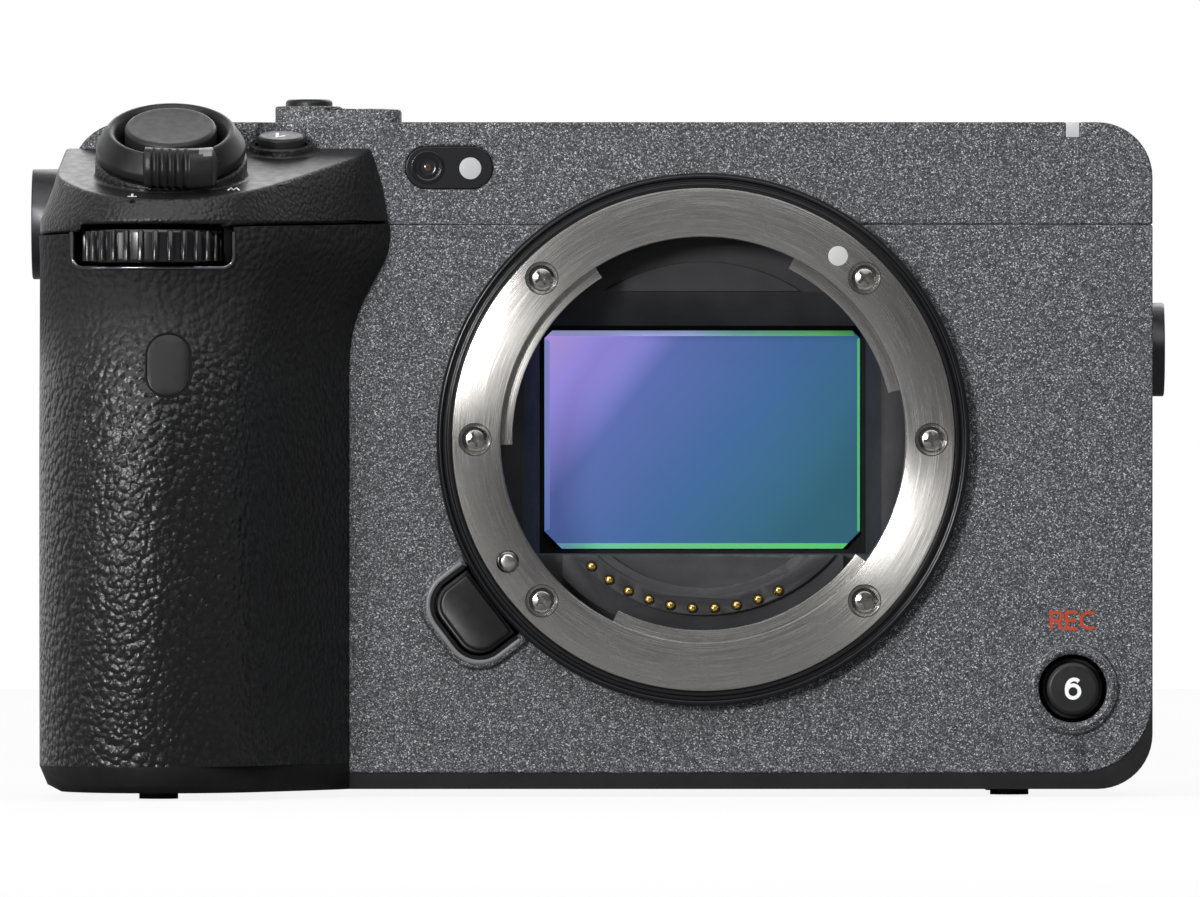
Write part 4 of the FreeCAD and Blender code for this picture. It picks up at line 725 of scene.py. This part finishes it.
bore, edge, foot = mount["throat"], mount["ring"], mount["foot"]
step, base = -mount["ringDepth"], -mount["footDepth"]
mountRing = lathe("mountRing", [(bore, 0), (edge, 0), (edge, step), (foot, step), (foot, base),
                                (bore, base)], front(), 0.22, True, 256)
screwSpots = [ring(angle, mount["screwCircle"]) for angle in mount["screwTurns"]]
pinSpot = ring(mount["pinAngle"], mount["pinCircle"])
tools = [cylinder(mount["recess"], 1, -mount["recessDepth"], front(*spot), 48)
         for spot in screwSpots]
tools.append(cylinder(mount["pinHole"], 1, -3, front(*pinSpot), 40))
carve(mountRing, joined("tool", *tools))
smooth(mountRing, 30)
step, base = -mount["tabFront"], -mount["tabBack"]
inner, outer = mount["tab"], bore + 0.2
tabs = [lathe("tab", [(inner, step), (outer, step), (outer, base), (inner, base)], front(), 0.12,
              True, 64, start, sweep) for start, sweep in mount["tabs"]]
mountRing = joined("mountRing", mountRing, *tabs)
smooth(mountRing, 30)
dress(brushed(mountRing), "steel", "mount_ring")

# Painted shade: a thin dark ring at the edge of each screw recess stands in for the shade in the
# counterbore
inner, outer = mount["recess"] - 0.02, mount["recess"] + 0.1
recessShades = [lathe("rim", [(inner, 0.015), (outer, 0.015), (outer, -0.05), (inner, -0.05)],
              front(*spot), closed=True, segments=48) for spot in screwSpots]
dress(joined("screwRims", *recessShades), "dark", "mount_ring", "steel")

inner, outer, level = mount["collarInner"], mount["collarOuter"], -mount["collarFront"]
collarProfile = [(inner, -mount["face"]), (outer, -mount["face"]), (outer, level - 0.8),
                 (outer - 0.3, level - 0.3), (outer - 0.6, level - 0.32),
                 (outer - 0.65, level - 0.75), (inner + 0.55, level - 0.75),
                 (inner + 0.5, level), (inner, level)]
collar = lathe("mountCollar", collarProfile, front(), 0.12, True, 256)
dress(collar, "collar", "mount_collar")


def screwShape():
    here = Matrix.Identity(4)
    edge = mount["head"]
    head = lathe("head", [(0, 0.32), (0.5, 0.3), (1.05, 0.16), (1.38, -0.08), (edge, -0.3),
                          (edge, -1.0), (0, -1.0)], here, 0.05, segments=40)
    slots = [plate("tool", [(-x, -y), (x, -y), (x, y), (-x, y)], -0.5, 1.0, here)
             for x, y in ((0.17, 0.85), (0.85, 0.17))]
    middle = lathe("tool", [(0, 1.0), (0.42, 1.0), (0.30, -0.6), (0, -0.6)], here, segments=24)
    carve(head, *slots, middle)
    shank = lathe("shank", [(0, -0.9), (0.9, -0.9), (0.9, -6.8), (0, -7.2)], here, segments=24)
    return joined("screw", head, shank)


places = [front(*spot, mount["headDrop"], turn)
          for spot, turn in zip(screwSpots, mount["screwTurns"].values())]
screws = repeated("mountScrews", screwShape(), places, looks["screw"])
dress(screws, "screw", "mount_screws")

edge, base = mount["pin"], -mount["pinLength"]
pin = lathe("lockPin", [(0, 0.8), (0.75, 0.75), (edge, 0.35), (edge, base), (0, base)],
            front(*pinSpot), 0.15, segments=48)
dress(pin, "chrome", "lock_pin")
edge = mount["dot"]
dot = lathe("indexDot", [(0, 0.06), (0.9, 0.04), (edge, -0.02), (edge, -0.2), (0, -0.2)],
            front(*ring(mount["dotAngle"], mount["dotCircle"])), segments=48)
dress(dot, "dot", "mount_ring", "lamp")

edge, base = contacts["radius"], -contacts["length"]
pinShape = lathe("contact", [(0, 0), (0.25, -0.04), (0.46, -0.22), (edge, -edge), (edge, base),
                             (0, base)], Matrix.Identity(4), 0.06, segments=24)
places = [front(*ring(contacts["first"] + contacts["step"] * k, contacts["circle"]),
                contacts["front"]) for k in range(contacts["count"])]
pins = repeated("contactPins", pinShape, places, looks["gold"])
dress(pins, "gold", "contact_pins")
print("stage: mount")


# Chamber behind the throat

chamber = {"arc": 20.3, "band": 16.9, "front": 7.5}

reach = math.sqrt(chamber["arc"] ** 2 - chamber["band"] ** 2)
half = math.degrees(math.atan2(chamber["band"], reach))
outline = arc(0, 0, chamber["arc"], half, 180 - half, 40)
arch = plate("chamberArch", outline, 0, 0.35, front(0, 0, chamber["front"]), 0.08)
dress(arch, "inner", "light_box", "dark_plastic")

w, h = wide, tall
c, low, b = sensor["corner"], sensor["low"], sensor["border"]
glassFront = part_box("sensor_glass")[0].y / mm
outline = [(-w + low, -h), (w - low, -h), (w, -h + low), (w, h - c), (w - c, h), (-w + c, h),
           (-w, h - c), (-w, -h + low)]
film = plate("sensorFilm", outline, -0.7, -0.08, front(0, 0, glassFront), 0.05)
dress(film, "sensor", "sensor_glass")
# The border strips carry painted glow in place of the sensor's coloured edge reflections
bars = {
    "left": [(-w, -h + low), (-w + b, -h + low + b * 0.4), (-w + b, h - c - b * 0.4), (-w, h - c)],
    "right": [(w - b * 0.55, -h + low), (w - 0.05, -h + low), (w - 0.05, h - c),
              (w - b * 0.55, h - c)],
    "top": [(-w + c, h), (-w + b, h - b), (w - b, h - b), (w - c, h)],
    "bottom": [(-w + low, -h), (w - low, -h), (w - low + b, -h + b), (-w + low - b, -h + b)],
}
for name, outline in bars.items():
    bar = plate("sensorEdge_" + name, outline, -0.1, -0.03, front(0, 0, glassFront))
    dress(bar, name, "sensor_glass", "sensor")
print("stage: chamber")


# Release button with its lip

release = {"angle": 217.3, "seat": 30.7, "reach": 36.1, "width": 9.0, "corner": 2.8, "face": -0.35,
           "shadowBand": (0.3, 0.8), "lip": 1.0, "lipRadius": 0.36, "foot": 1.38, "lipShadowRadius": 0.09}
button = release["width"] / 2


def releaseOutline(grow, start):
    corner = release["corner"] + grow
    far = release["reach"] + grow
    wide = button + grow
    outline = [(start, -wide)] + arc(far - corner, -wide + corner, corner, -90, 0, 10)
    outline += arc(far - corner, wide - corner, corner, 0, 90, 10) + [(start, wide)]
    return outline


start = math.sqrt(release["seat"] ** 2 - button ** 2)
releaseSeat = front(0, 0, mount["face"], release["angle"])
foot = plate("foot", releaseOutline(0, start), -2.0, 1.0, releaseSeat, 0.2)
face = plate("face", releaseOutline(release["face"], start + 0.3), 0.5, 1.8, releaseSeat, 0.4, 4)
body = joined("releaseButton", foot, face)
smooth(body, 40)
dress(body, "key", "lens_release_button")
# Painted shade: a black frame over the lip's inner part widens the dark gap round the button
shadowBands = [releaseOutline(grow, start) for grow in release["shadowBand"]]
count = len(shadowBands[0])
points = [(x, y, level) for outline in shadowBands for level in (0.5, 0.98) for x, y in outline]
faces = []
for number in range(count - 1):
    for low, high in ((0, 1), (1, 3), (3, 2), (2, 0)):
        faces.append((low * count + number, low * count + number + 1, high * count + number + 1,
                      high * count + number))
for end in (0, count - 1):
    faces.append(tuple(row * count + end for row in (0, 1, 3, 2)))
dress(shape("releaseGuide", points, faces, releaseSeat), "flock", "front_cover", "black_plastic")
# The lip is a real rim made paler than the cover's paint, partly painted highlight; the thin black
# tube at its outer foot is painted shadow
for name, grow, level, radius, look, slot in (
        ("releaseLip", release["lip"], 0.72, release["lipRadius"], "trimAndHighlight", "grey_paint"),
        ("releaseLipFoot", release["foot"], 0.0, release["lipShadowRadius"], "flock", "black_plastic")):
    path = [releaseSeat @ Vector((x, y, level)) for x, y in releaseOutline(grow, start)]
    dress(tube(name, path, radius), look, "front_cover", slot)


# Record button, digits and words

record = {"x": 42.1, "z": -28.35, "button": 3.0, "ringInner": 3.85, "ringOuter": 5.1,
          "shine": 4.95, "digitFront": 0.69, "stroke": 0.42,
          "word": 2.15, "wordZ": -20.6, "wordStroke": 0.36}
x, z = record["x"], record["z"]
edge, face = record["button"], mount["face"]
key = lathe("recordButton", [(0, 0.66), (2.6, 0.7), (edge, 0.45), (edge, -2.1), (3.5, -2.1),
                             (3.5, -2.7), (0, -2.7)], front(x, z, face), 0.14)
dress(key, "key", "record_button")
inner, outer = record["ringInner"], record["ringOuter"]
rim = lathe("recordRing", [(inner, 0.0), (3.9, 0.3), (4.1, 0.62), (4.45, 0.78), (4.75, 0.7),
                           (5.0, 0.42), (outer, 0.0)], front(x, z, face), 0.1, True, 128)
dress(rim, "paint", "front_cover", "grey_paint")
# Painted shadow: a flat black ring, shifted down so it is wider below, draws the shadow round the
# raised ring
groove = lathe("recordGroove", [(4.9, 0.0), (5.28, 0.0), (5.28, 0.02), (4.9, 0.02)],
               front(x, z - 0.1, face), 0.0, True, 128)
dress(groove, "flock", "front_cover", "black_plastic")
# Painted highlight: a pale arc along the ring's upper edge, at the shine radius of the record
# table
shine = tube("recordShine", [(px, face - 0.5, pz)
                             for px, pz in arc(x, z, record["shine"], 32, 148, 40)], 0.1)
dress(shine, "trimAndHighlight", "front_cover", "grey_paint")
bowl = arc(0, -0.36, 0.72, 0, 360, 36)
hook = [(-0.72, -0.4), (-0.73, -0.05), (-0.68, 0.32), (-0.52, 0.66), (-0.26, 0.93), (0.08, 1.03),
        (0.4, 0.98), (0.66, 0.79)]
digit = ribbon("digitSix", [bowl, hook], record["stroke"], 0.03,
               front(x + 0.02, z + 0.02, face - record["digitFront"]))
dress(digit, "white", "record_button", "lamp")

letters = {
    "R": [[(0, 0), (0, 1)], [(0, 0.94), (0.38, 0.94), (0.52, 0.86), (0.56, 0.72), (0.52, 0.57),
                             (0.38, 0.48), (0, 0.48)], [(0.3, 0.48), (0.6, 0)]],
    "E": [[(0, 0), (0, 1)], [(0, 0.94), (0.58, 0.94)], [(0, 0.5), (0.52, 0.5)],
          [(0, 0.06), (0.6, 0.06)]],
    "C": [arc(0.36, 0.5, 0.42, 48, 312, 18)],
    "T": [[(0, 0.94), (0.72, 0.94)], [(0.36, 0), (0.36, 0.94)]],
    "W": [[(0, 0.98), (0.22, 0.06), (0.44, 0.9), (0.66, 0.06), (0.88, 0.98)]],
    "1": [[(0.0, 0.66), (0.4, 0.95), (0.4, 0)]],
}


def word(text, size, spacing=0.82):
    lines = []
    for number, letter in enumerate(text):
        for line in letters[letter]:
            lines.append([((px + spacing * number) * size, py * size) for px, py in line])
    middle = max(px for line in lines for px, py in line) / 2
    return [[(px - middle, py - size / 2) for px, py in line] for line in lines]


rec = ribbon("wordRecord", word("REC", record["word"]), record["wordStroke"], 0.03,
             front(x, record["wordZ"], face))
dress(rec, "red", "front_cover", "lamp")
print("stage: front details")


# Capsule window

window = {"x": -28.9, "z": 30.96, "length": 10.0, "height": 4.9, "lensX": -31.35, "dot": 1.25,
          "dotX": -26.5}
x, z = window["x"], window["z"]
radius = window["height"] / 2
reach = window["length"] / 2 - radius
outline = arc(reach, 0, radius, -90, 90, 20) + arc(-reach, 0, radius, 90, 270, 20)
pane = plate("frontWindow", outline, -1.4, -0.05, front(x, z, face), 0.18)
dress(pane, "pane", "front_window")
lensSeat = front(window["lensX"], z + 0.02, face)
lens = lathe("windowLens", [(0.72, -0.3), (0.72, -0.06), (0.95, -0.02), (1.35, -0.04), (1.5, 0.03),
                            (1.85, 0.03), (1.95, -0.05), (1.95, -0.3)],
             lensSeat, 0.04, segments=64)
dress(lens, "collar", "front_window", "window_glass")
bead = lathe("windowBead", [(0, 0.0), (0.35, -0.03), (0.6, -0.12), (0.72, -0.24)],
             lensSeat, segments=48)
dress(bead, "bead", "front_window", "window_glass")
spot = lathe("windowDot", [(0, 0.0), (window["dot"], 0.0), (window["dot"], -0.2)],
             front(window["dotX"], z - 0.08, face), 0.04, segments=48)
dress(spot, "lamp", "front_window", "lamp")


# Shutter button in its zoom lever

shutter = {"x": -60.2, "y": -14.0, "z": 35.4, "tilt": 26.0, "button": 5.2, "bowl": 5.6,
           "base": 8.45, "drop": 0.4, "height": 3.0}
lug = {"left": -3.3, "right": 5.7, "ribs": 5, "first": 0.13, "last": 0.62, "groove": 0.34,
       "markLeft": 3.4, "markRight": 4.9}
seat = tilted(shutter["x"], shutter["y"], shutter["z"], shutter["tilt"])
edge = shutter["button"]
cap = lathe("shutterButton", [(0, -0.12), (4.0, -0.05), (4.9, 0.0), (edge, -0.35), (edge, -2.6),
                              (2.4, -2.6), (2.4, -6.0), (0, -6.0)], seat, 0.18, segments=128)
dress(cap, "keyTop", "shutter_button")
base = -shutter["drop"] - shutter["height"]
inner, outer = shutter["bowl"], shutter["base"]
collarRing = lathe("zoomRing", [(inner, base), (outer, base), (outer, base + 0.95), (7.2, -0.45),
                                (6.75, -0.4), (6.35, -0.75), (5.75, -1.9)], seat, 0.2, True, 128)


def eased(share):
    share = min(1.0, max(0.0, share))
    return share * share * (3 - 2 * share)


def fingerLug():
    profile = softened(((6.5, base), (6.5, -0.8), (7.0, 0.55), (8.2, 0.75), (9.1, 0.2),
                        (9.9, -1.3), (9.7, base)), 0.5, True)
    columns, count = 108, len(profile)
    points, faces = [], []
    for column in range(columns + 1):
        share = column / columns
        x = lug["left"] + (lug["right"] - lug["left"]) * share
        swell = eased(share / 0.07) * eased((1 - share) / 0.1)
        groove = 0.0
        if lug["first"] < share < lug["last"]:
            turn = (share - lug["first"]) / (lug["last"] - lug["first"]) * lug["ribs"]
            groove = lug["groove"] * (0.5 - 0.5 * math.cos(2 * math.pi * turn)) ** 0.7
        for radius, height in profile:
            outer = eased((radius - 7.4) / 0.6)
            far = 6.5 + (radius - 6.5) * swell - groove * outer * 0.9
            level = base + (height - base) * (0.4 + 0.6 * swell)
            if height > -1:
                level -= groove * outer * 0.4
            points.append((x, 0.03 * (x - 1.2) ** 2 - far, max(base, level)))
    for column in range(columns):
        for row in range(count):
            a, b = column * count + row, column * count + (row + 1) % count
            faces.append((a, b, b + count, a + count))
    faces.append(tuple(range(count)))
    faces.append(tuple(columns * count + row for row in range(count)))
    return shape("lug", points, faces, seat, 40)


lever = joined("zoomLever", collarRing, fingerLug())
smooth(lever, 40)
dress(lever, "key", "zoom_lever")
lever.data.materials.append(looks["trimAndHighlight"])
back = seat.inverted()
for face in lever.data.polygons:  # a pale mark lies on top, beside the ribs
    spot = back @ (face.center / mm)
    face.material_index = int(lug["markLeft"] < spot.x < lug["markRight"] and spot.z > 0.2
                              and -8.6 < spot.y < -6.7)
print("stage: controls")


# Lettering of the deck

deck = {"tilt": 13.4, "height": 33.2, "keyX": -47.98, "keyY": 1.0, "key": 2.65, "keyTop": 2.0,
        "letter": 1.4, "digit": 2.3}
halfTurn = Matrix.Rotation(math.pi, 4, "Z")


def onDeck(x, y, above=0.0):
    z = deck["height"] - (mount["face"] - y) * math.tan(math.radians(deck["tilt"]))
    return tilted(x, y, z, deck["tilt"]) @ Matrix.Translation((0, 0, above)) @ halfTurn


for name, letter, x, y in (("letterTele", "T", -64.35, -20.85), ("letterWide", "W", -53.0, -17.7)):
    mark = ribbon(name, word(letter, deck["letter"]), 0.24, 0.03, onDeck(x, y))
    dress(mark, "white", "grip_top_cover", "lamp")
edge, top = deck["key"], deck["keyTop"]
key = lathe("deckButton", [(0, top), (2.4, top), (edge, top - 0.25), (edge, -1.6), (0, -1.6)],
            onDeck(deck["keyX"], deck["keyY"]) @ halfTurn, 0.12, segments=64)
dress(key, "keyTop", "deck_button")
one = ribbon("digitOne", word("1", deck["digit"]), 0.4, 0.03,
             onDeck(deck["keyX"], deck["keyY"], top))
dress(one, "white", "deck_button", "lamp")


# Front dial with ribs

dial = {"x": -62.05, "y": -17.4, "z": 19.9, "height": 3.7, "radius": 7.5, "hub": 1.6, "ribs": 29}
edge, top, hub = dial["radius"], dial["height"], dial["hub"]
middle = Matrix.Translation((dial["x"], dial["y"], dial["z"]))
drum = lathe("drum", [(hub, 0), (edge - 0.2, 0), (edge, 0.3), (edge, top - 0.3),
                      (edge - 0.2, top), (hub, top)], middle, 0.1, True, 116)
ribShape = plate("rib", roundedBox(-0.32, 0.32, -0.5, 0.5, 0.22, 3), 0.12, top - 0.12,
                 Matrix.Identity(4), 0.12)
places = []
for angle in (360 * k / dial["ribs"] for k in range(dial["ribs"])):
    x, y = ring(angle, edge + 0.05)
    places.append(middle @ Matrix.Translation((x, y, 0))
                  @ Matrix.Rotation(math.radians(angle + 90), 4, "Z"))
ribs = repeated("dialRibs", ribShape, places, looks["dial"])
frontDial = joined("frontDial", drum, ribs)
dress(frontDial, "dial", "front_dial")
print("stage: dial")


# Grip skin: smooth sections between the base and the seam

grip = {"back": 29.4, "turnIn": 3.4, "bottom": -36.8, "base": -39.8, "skin": 1.1,
        "seam": 23.75, "tilt": 2.2, "tiltX": -56.05,
        "slotHalf": 9.1, "slotLow": 19.3, "slotHigh": 26.0, "slotCorner": 1.3, "bezelTop": 23.4,
        "ovalX": -60.2, "ovalHigh": 9.4, "ovalLow": 7.2, "oval": 2.45,
        "boss": 6.35, "bossY": 9.0, "bossZ": 24.6}

# Shares across and forward of each section, and for each height its edge, depth and side
frontCurve = ((0.868, 0.343), (0.745, 0.64), (0.665, 0.815), (0.56, 0.915), (0.379, 1.0),
              (0.164, 0.92), (0.029, 0.663), (0.0, 0.36))
bottom, seam = grip["base"], grip["seam"]
gripLevels = [
    (bottom + 3, 40.3, 25.0, 75.2), (bottom + 17, 40.3, 27.2, 75.2),
    (bottom + 32, 40.3, 28.0, 75.2), (bottom + 45, 40.3, 26.5, 75.2),
    (seam - 10.5, 39.6, 23.4, 75.2), (seam - 6.5, 37.9, 22.4, 75.2),
    (seam - 2.5, 35.9, 23.4, 75.2), (seam + 1.0, 35.7, 23.8, 75.1),
    (seam + 5.0, 36.4, 21.8, 73.6), (seam + 11.5, 38.5, 20.4, 72.0),
]


def cubic(knots, values, ends=None):
    knots = np.array(knots, float)
    values = np.array(values, float)
    count = len(knots)
    steps = np.diff(knots)
    slopes = (np.diff(values, axis=0).T / steps).T
    matrix = np.zeros((count, count))
    right = np.zeros_like(values)
    for k in range(1, count - 1):
        matrix[k, k - 1] = steps[k]
        matrix[k, k] = 2 * (steps[k - 1] + steps[k])
        matrix[k, k + 1] = steps[k - 1]
        right[k] = 3 * (steps[k] * slopes[k - 1] + steps[k - 1] * slopes[k])
    if ends is None:
        matrix[0, :2] = (2, 1)
        right[0] = 3 * slopes[0]
        matrix[-1, -2:] = (1, 2)
        right[-1] = 3 * slopes[-1]
    else:
        matrix[0, 0] = matrix[-1, -1] = 1
        right[0], right[-1] = ends
    rates = np.linalg.solve(matrix, right)

    def at(spot):
        k = int(np.clip(np.searchsorted(knots, spot) - 1, 0, count - 2))
        t = (spot - knots[k]) / steps[k]
        return ((1 + 2 * t) * (1 - t) ** 2 * values[k] + t * (1 - t) ** 2 * steps[k] * rates[k]
                + t * t * (3 - 2 * t) * values[k + 1] + t * t * (t - 1) * steps[k] * rates[k + 1])
    return at


levelAt = cubic([level[0] for level in gripLevels], [level[1:] for level in gripLevels])


def sectionAt(height):
    edgeX, forward, side = levelAt(height)
    depth = mount["face"] + forward
    width = side - edgeX
    curve = [(-edgeX, mount["face"])]
    curve += [(-side + across * width, mount["face"] - far * depth) for across, far in frontCurve]
    lengths = [0.0]
    for a, b in zip(curve, curve[1:]):
        lengths.append(lengths[-1] + math.dist(a, b))
    ends = (np.array((-0.35, -0.94)), np.array((0.0, 1.0)))  # directions at the two ends
    return cubic(lengths, curve, ends), lengths[-1]


def skinFront(x, height):
    at, high = sectionAt(height)
    low = 0.0
    for _ in range(30):
        middle = (low + high) / 2
        if at(middle)[0] > x:
            low = middle
        else:
            high = middle
    return float(at(low)[1])


sideSteps = 12


def skinRow(height, columns):
    at, length = sectionAt(height)
    row = [tuple(at(length * k / columns)) for k in range(columns + 1)]
    corner = row[-1]
    for k in range(1, sideSteps + 1):
        row.append((corner[0], corner[1] + (grip["back"] - corner[1]) * k / sideSteps))
    row.append((corner[0] + grip["turnIn"], grip["back"]))
    return row


def topOfSkin(x):
    return seam + math.tan(math.radians(grip["tilt"])) * (x - grip["tiltX"])


columns, rows = 120, 100
tops = [topOfSkin(x) for x, y in skinRow(seam, columns)]
points, faces = [], []
grid = {}
for row in range(rows + 1):
    share = row / rows
    cache = {}
    for column, high in enumerate(tops):
        height = grip["bottom"] + (high - grip["bottom"]) * share
        key = round(height, 2)
        if key not in cache:
            cache[key] = skinRow(height, columns)
        x, y = cache[key][column]
        grid[row, column] = len(points)
        points.append((x, y, height))
for row in range(rows):
    for column in range(len(tops) - 1):
        faces.append((grid[row, column], grid[row, column + 1], grid[row + 1, column + 1],
                      grid[row + 1, column]))
skin = shape("gripSkin", points, faces, sharp=60)
thick = skin.modifiers.new("Thickness", "SOLIDIFY")
thick.thickness = grip["skin"] * mm
thick.offset = -1
thick.use_even_offset = True
baked(skin)

half, corner, slotLow = grip["slotHalf"], grip["slotCorner"], grip["slotLow"]
left, right = dial["x"] - half, dial["x"] + half


def ovalOutline(radius, steps):
    return (arc(grip["ovalX"], grip["ovalHigh"], radius, 0, 180, steps)
            + arc(grip["ovalX"], grip["ovalLow"], radius, 180, 360, steps))


slot = plate("tool", roundedBox(left, right, slotLow, grip["slotHigh"], corner), 0, 60,
             front(0, 0, dial["y"] + 4))
oval = plate("tool", ovalOutline(grip["oval"], 16), 0, 60, front(0, 0, -10))
boss = cylinder(grip["boss"], 0, 20, Matrix.Translation((-60, grip["bossY"], grip["bossZ"]))
                @ Matrix.Rotation(-math.pi / 2, 4, "Y"), 64)
carve(skin, slot, oval, boss)
smooth(skin, 50)
dress(skin, "rubber", "grip_rubber")
path = [(left, grip["bezelTop"])] + arc(left + corner, slotLow + corner, corner, 180, 270, 8)
path += [(left + corner + (2 * half - 2 * corner) * k / 24, slotLow) for k in range(1, 24)]
path += arc(right - corner, slotLow + corner, corner, 270, 360, 8)
path.append((right, grip["bezelTop"]))
rim = tube("dialBezel", [(x, skinFront(x, z) + 0.02, z) for x, z in path], 0.25)
dress(rim, "bezel", "grip_rubber", "black_plastic")
ovalPath = ovalOutline(grip["oval"] + 0.07, 20)
ovalPath.append(ovalPath[0])
edge = tube("windowEdge", [(x, skinFront(x, z) + 0.06, z) for x, z in ovalPath], 0.13)
dress(edge, "flock", "grip_rubber", "black_plastic")
print("stage: grip")


# Floor, lights and camera

def areaLight(name, place, target, width, height, power):
    data = bpy.data.lights.new(name, "AREA")
    data.shape = "RECTANGLE"
    data.size, data.size_y = width, height
    data.energy = power
    lamp = placed(name, data)
    lamp.location = place
    lamp.rotation_euler = (Vector(target) - Vector(place)).to_track_quat("-Z", "Y").to_euler()


floorFinish = Finish("paleFloor")
sight = floorFinish.node("ShaderNodeLightPath").outputs["Is Camera Ray"]
pale = floorFinish.greys(floorFinish.noise(8.0), 0.86, 0.9)
floorFinish.set(Base_Color=floorFinish.blend(sight, (0.3, 0.3, 0.3), pale), Roughness=0.8)
paper = floorFinish.node("ShaderNodeEmission")
cover = floorFinish.node("ShaderNodeMixShader")
floorFinish.link(floorFinish.math("MULTIPLY", sight, 0.9), cover.inputs["Fac"])
floorFinish.link(floorFinish.shader.outputs[0], cover.inputs[1])
floorFinish.link(paper.outputs[0], cover.inputs[2])
under = floorFinish.node("ShaderNodeMixShader")
floorFinish.link(floorFinish.node("ShaderNodeNewGeometry").outputs["Backfacing"],
                 under.inputs["Fac"])
floorFinish.link(cover.outputs[0], under.inputs[1])
floorFinish.link(floorFinish.node("ShaderNodeBsdfTransparent").outputs[0], under.inputs[2])
floorFinish.link(under.outputs[0], floorFinish.tree.nodes["Material Output"].inputs["Surface"])
floorOutline = [(-0.9, -0.9), (0.9, -0.9), (0.9, 0.9), (-0.9, 0.9)]
mesh = bpy.data.meshes.new("floor")
lowest = cadBox[0].z - 0.0002
mesh.from_pydata([(x, y, lowest) for x, y in floorOutline], [], [(0, 1, 2, 3)])
mesh.materials.append(floorFinish.material)
floor = placed("floor", mesh)

# Place, target, width and height in metres, and power in watts
areaLight("keyLight", (-0.58, -1.16, 0.26), (-0.01, 0, 0), 0.26, 0.26, 14)
areaLight("sideLight", (-1.2, -0.7, 0.1), (0.01, 0, 0), 0.2, 0.5, 3)
areaLight("fillLight", (0.95, -0.9, -0.45), (0, 0, 0), 0.3, 0.3, 3.5)
areaLight("topLight", (-0.02, -0.22, 0.31), (0, 0, 0), 0.6, 0.3, 1.4)
areaLight("backLight", (0.1, 0.9, 0.6), (0, 0, 0), 1.0, 0.5, 5)

world = bpy.data.worlds.new("studio")
bpy.context.scene.world = world
world.use_nodes = True
tree = world.node_tree


def worldNode(kind, *sources, **values):
    item = tree.nodes.new(kind)
    for key, value in values.items():
        setattr(item, key, value)
    for socket, source in zip(item.inputs, sources):
        if hasattr(source, "links"):
            tree.links.new(source, socket)
        else:
            socket.default_value = source
    return item


# The white backdrop stands behind the object, and the studio in front of it is dim
ray = worldNode("ShaderNodeLightPath").outputs
axes = worldNode("ShaderNodeSeparateXYZ", worldNode("ShaderNodeTexCoord").outputs["Generated"])
behind = worldNode("ShaderNodeMapRange", axes.outputs["Y"], -0.1, 0.35, 0.0, 1.0).outputs[0]
mirrored = worldNode("ShaderNodeMath", ray["Is Glossy Ray"], behind, operation="MULTIPLY")
direct = worldNode("ShaderNodeMath", ray["Is Camera Ray"], ray["Is Transmission Ray"],
                   operation="MAXIMUM")
seen = worldNode("ShaderNodeMath", mirrored.outputs[0], direct.outputs[0], operation="MAXIMUM")
studio = worldNode("ShaderNodeBackground", (0.92, 0.95, 1.0, 1), 0.15)
white = worldNode("ShaderNodeBackground", (1, 1, 1, 1), 1.0)
mix = worldNode("ShaderNodeMixShader", seen.outputs[0], studio.outputs[0], white.outputs[0])
tree.links.new(mix.outputs[0], tree.nodes["World Output"].inputs["Surface"])

view = {"x": -11.73, "y": -2000.0, "z": -1.02, "focal": 17592.0, "film": 36, "wide": 1200}
data = bpy.data.cameras.new("photoCamera")
data.sensor_width = view["film"]
data.lens = view["focal"] * view["film"] / view["wide"]
data.clip_start, data.clip_end = 0.05, 20
camera = placed("photoCamera", data)
camera.location = (view["x"] * mm, view["y"] * mm, view["z"] * mm)
camera.rotation_euler = (math.radians(90), 0, 0)
bpy.context.scene.camera = camera
bpy.context.scene.view_settings.view_transform = "Standard"

print("stage: studio")
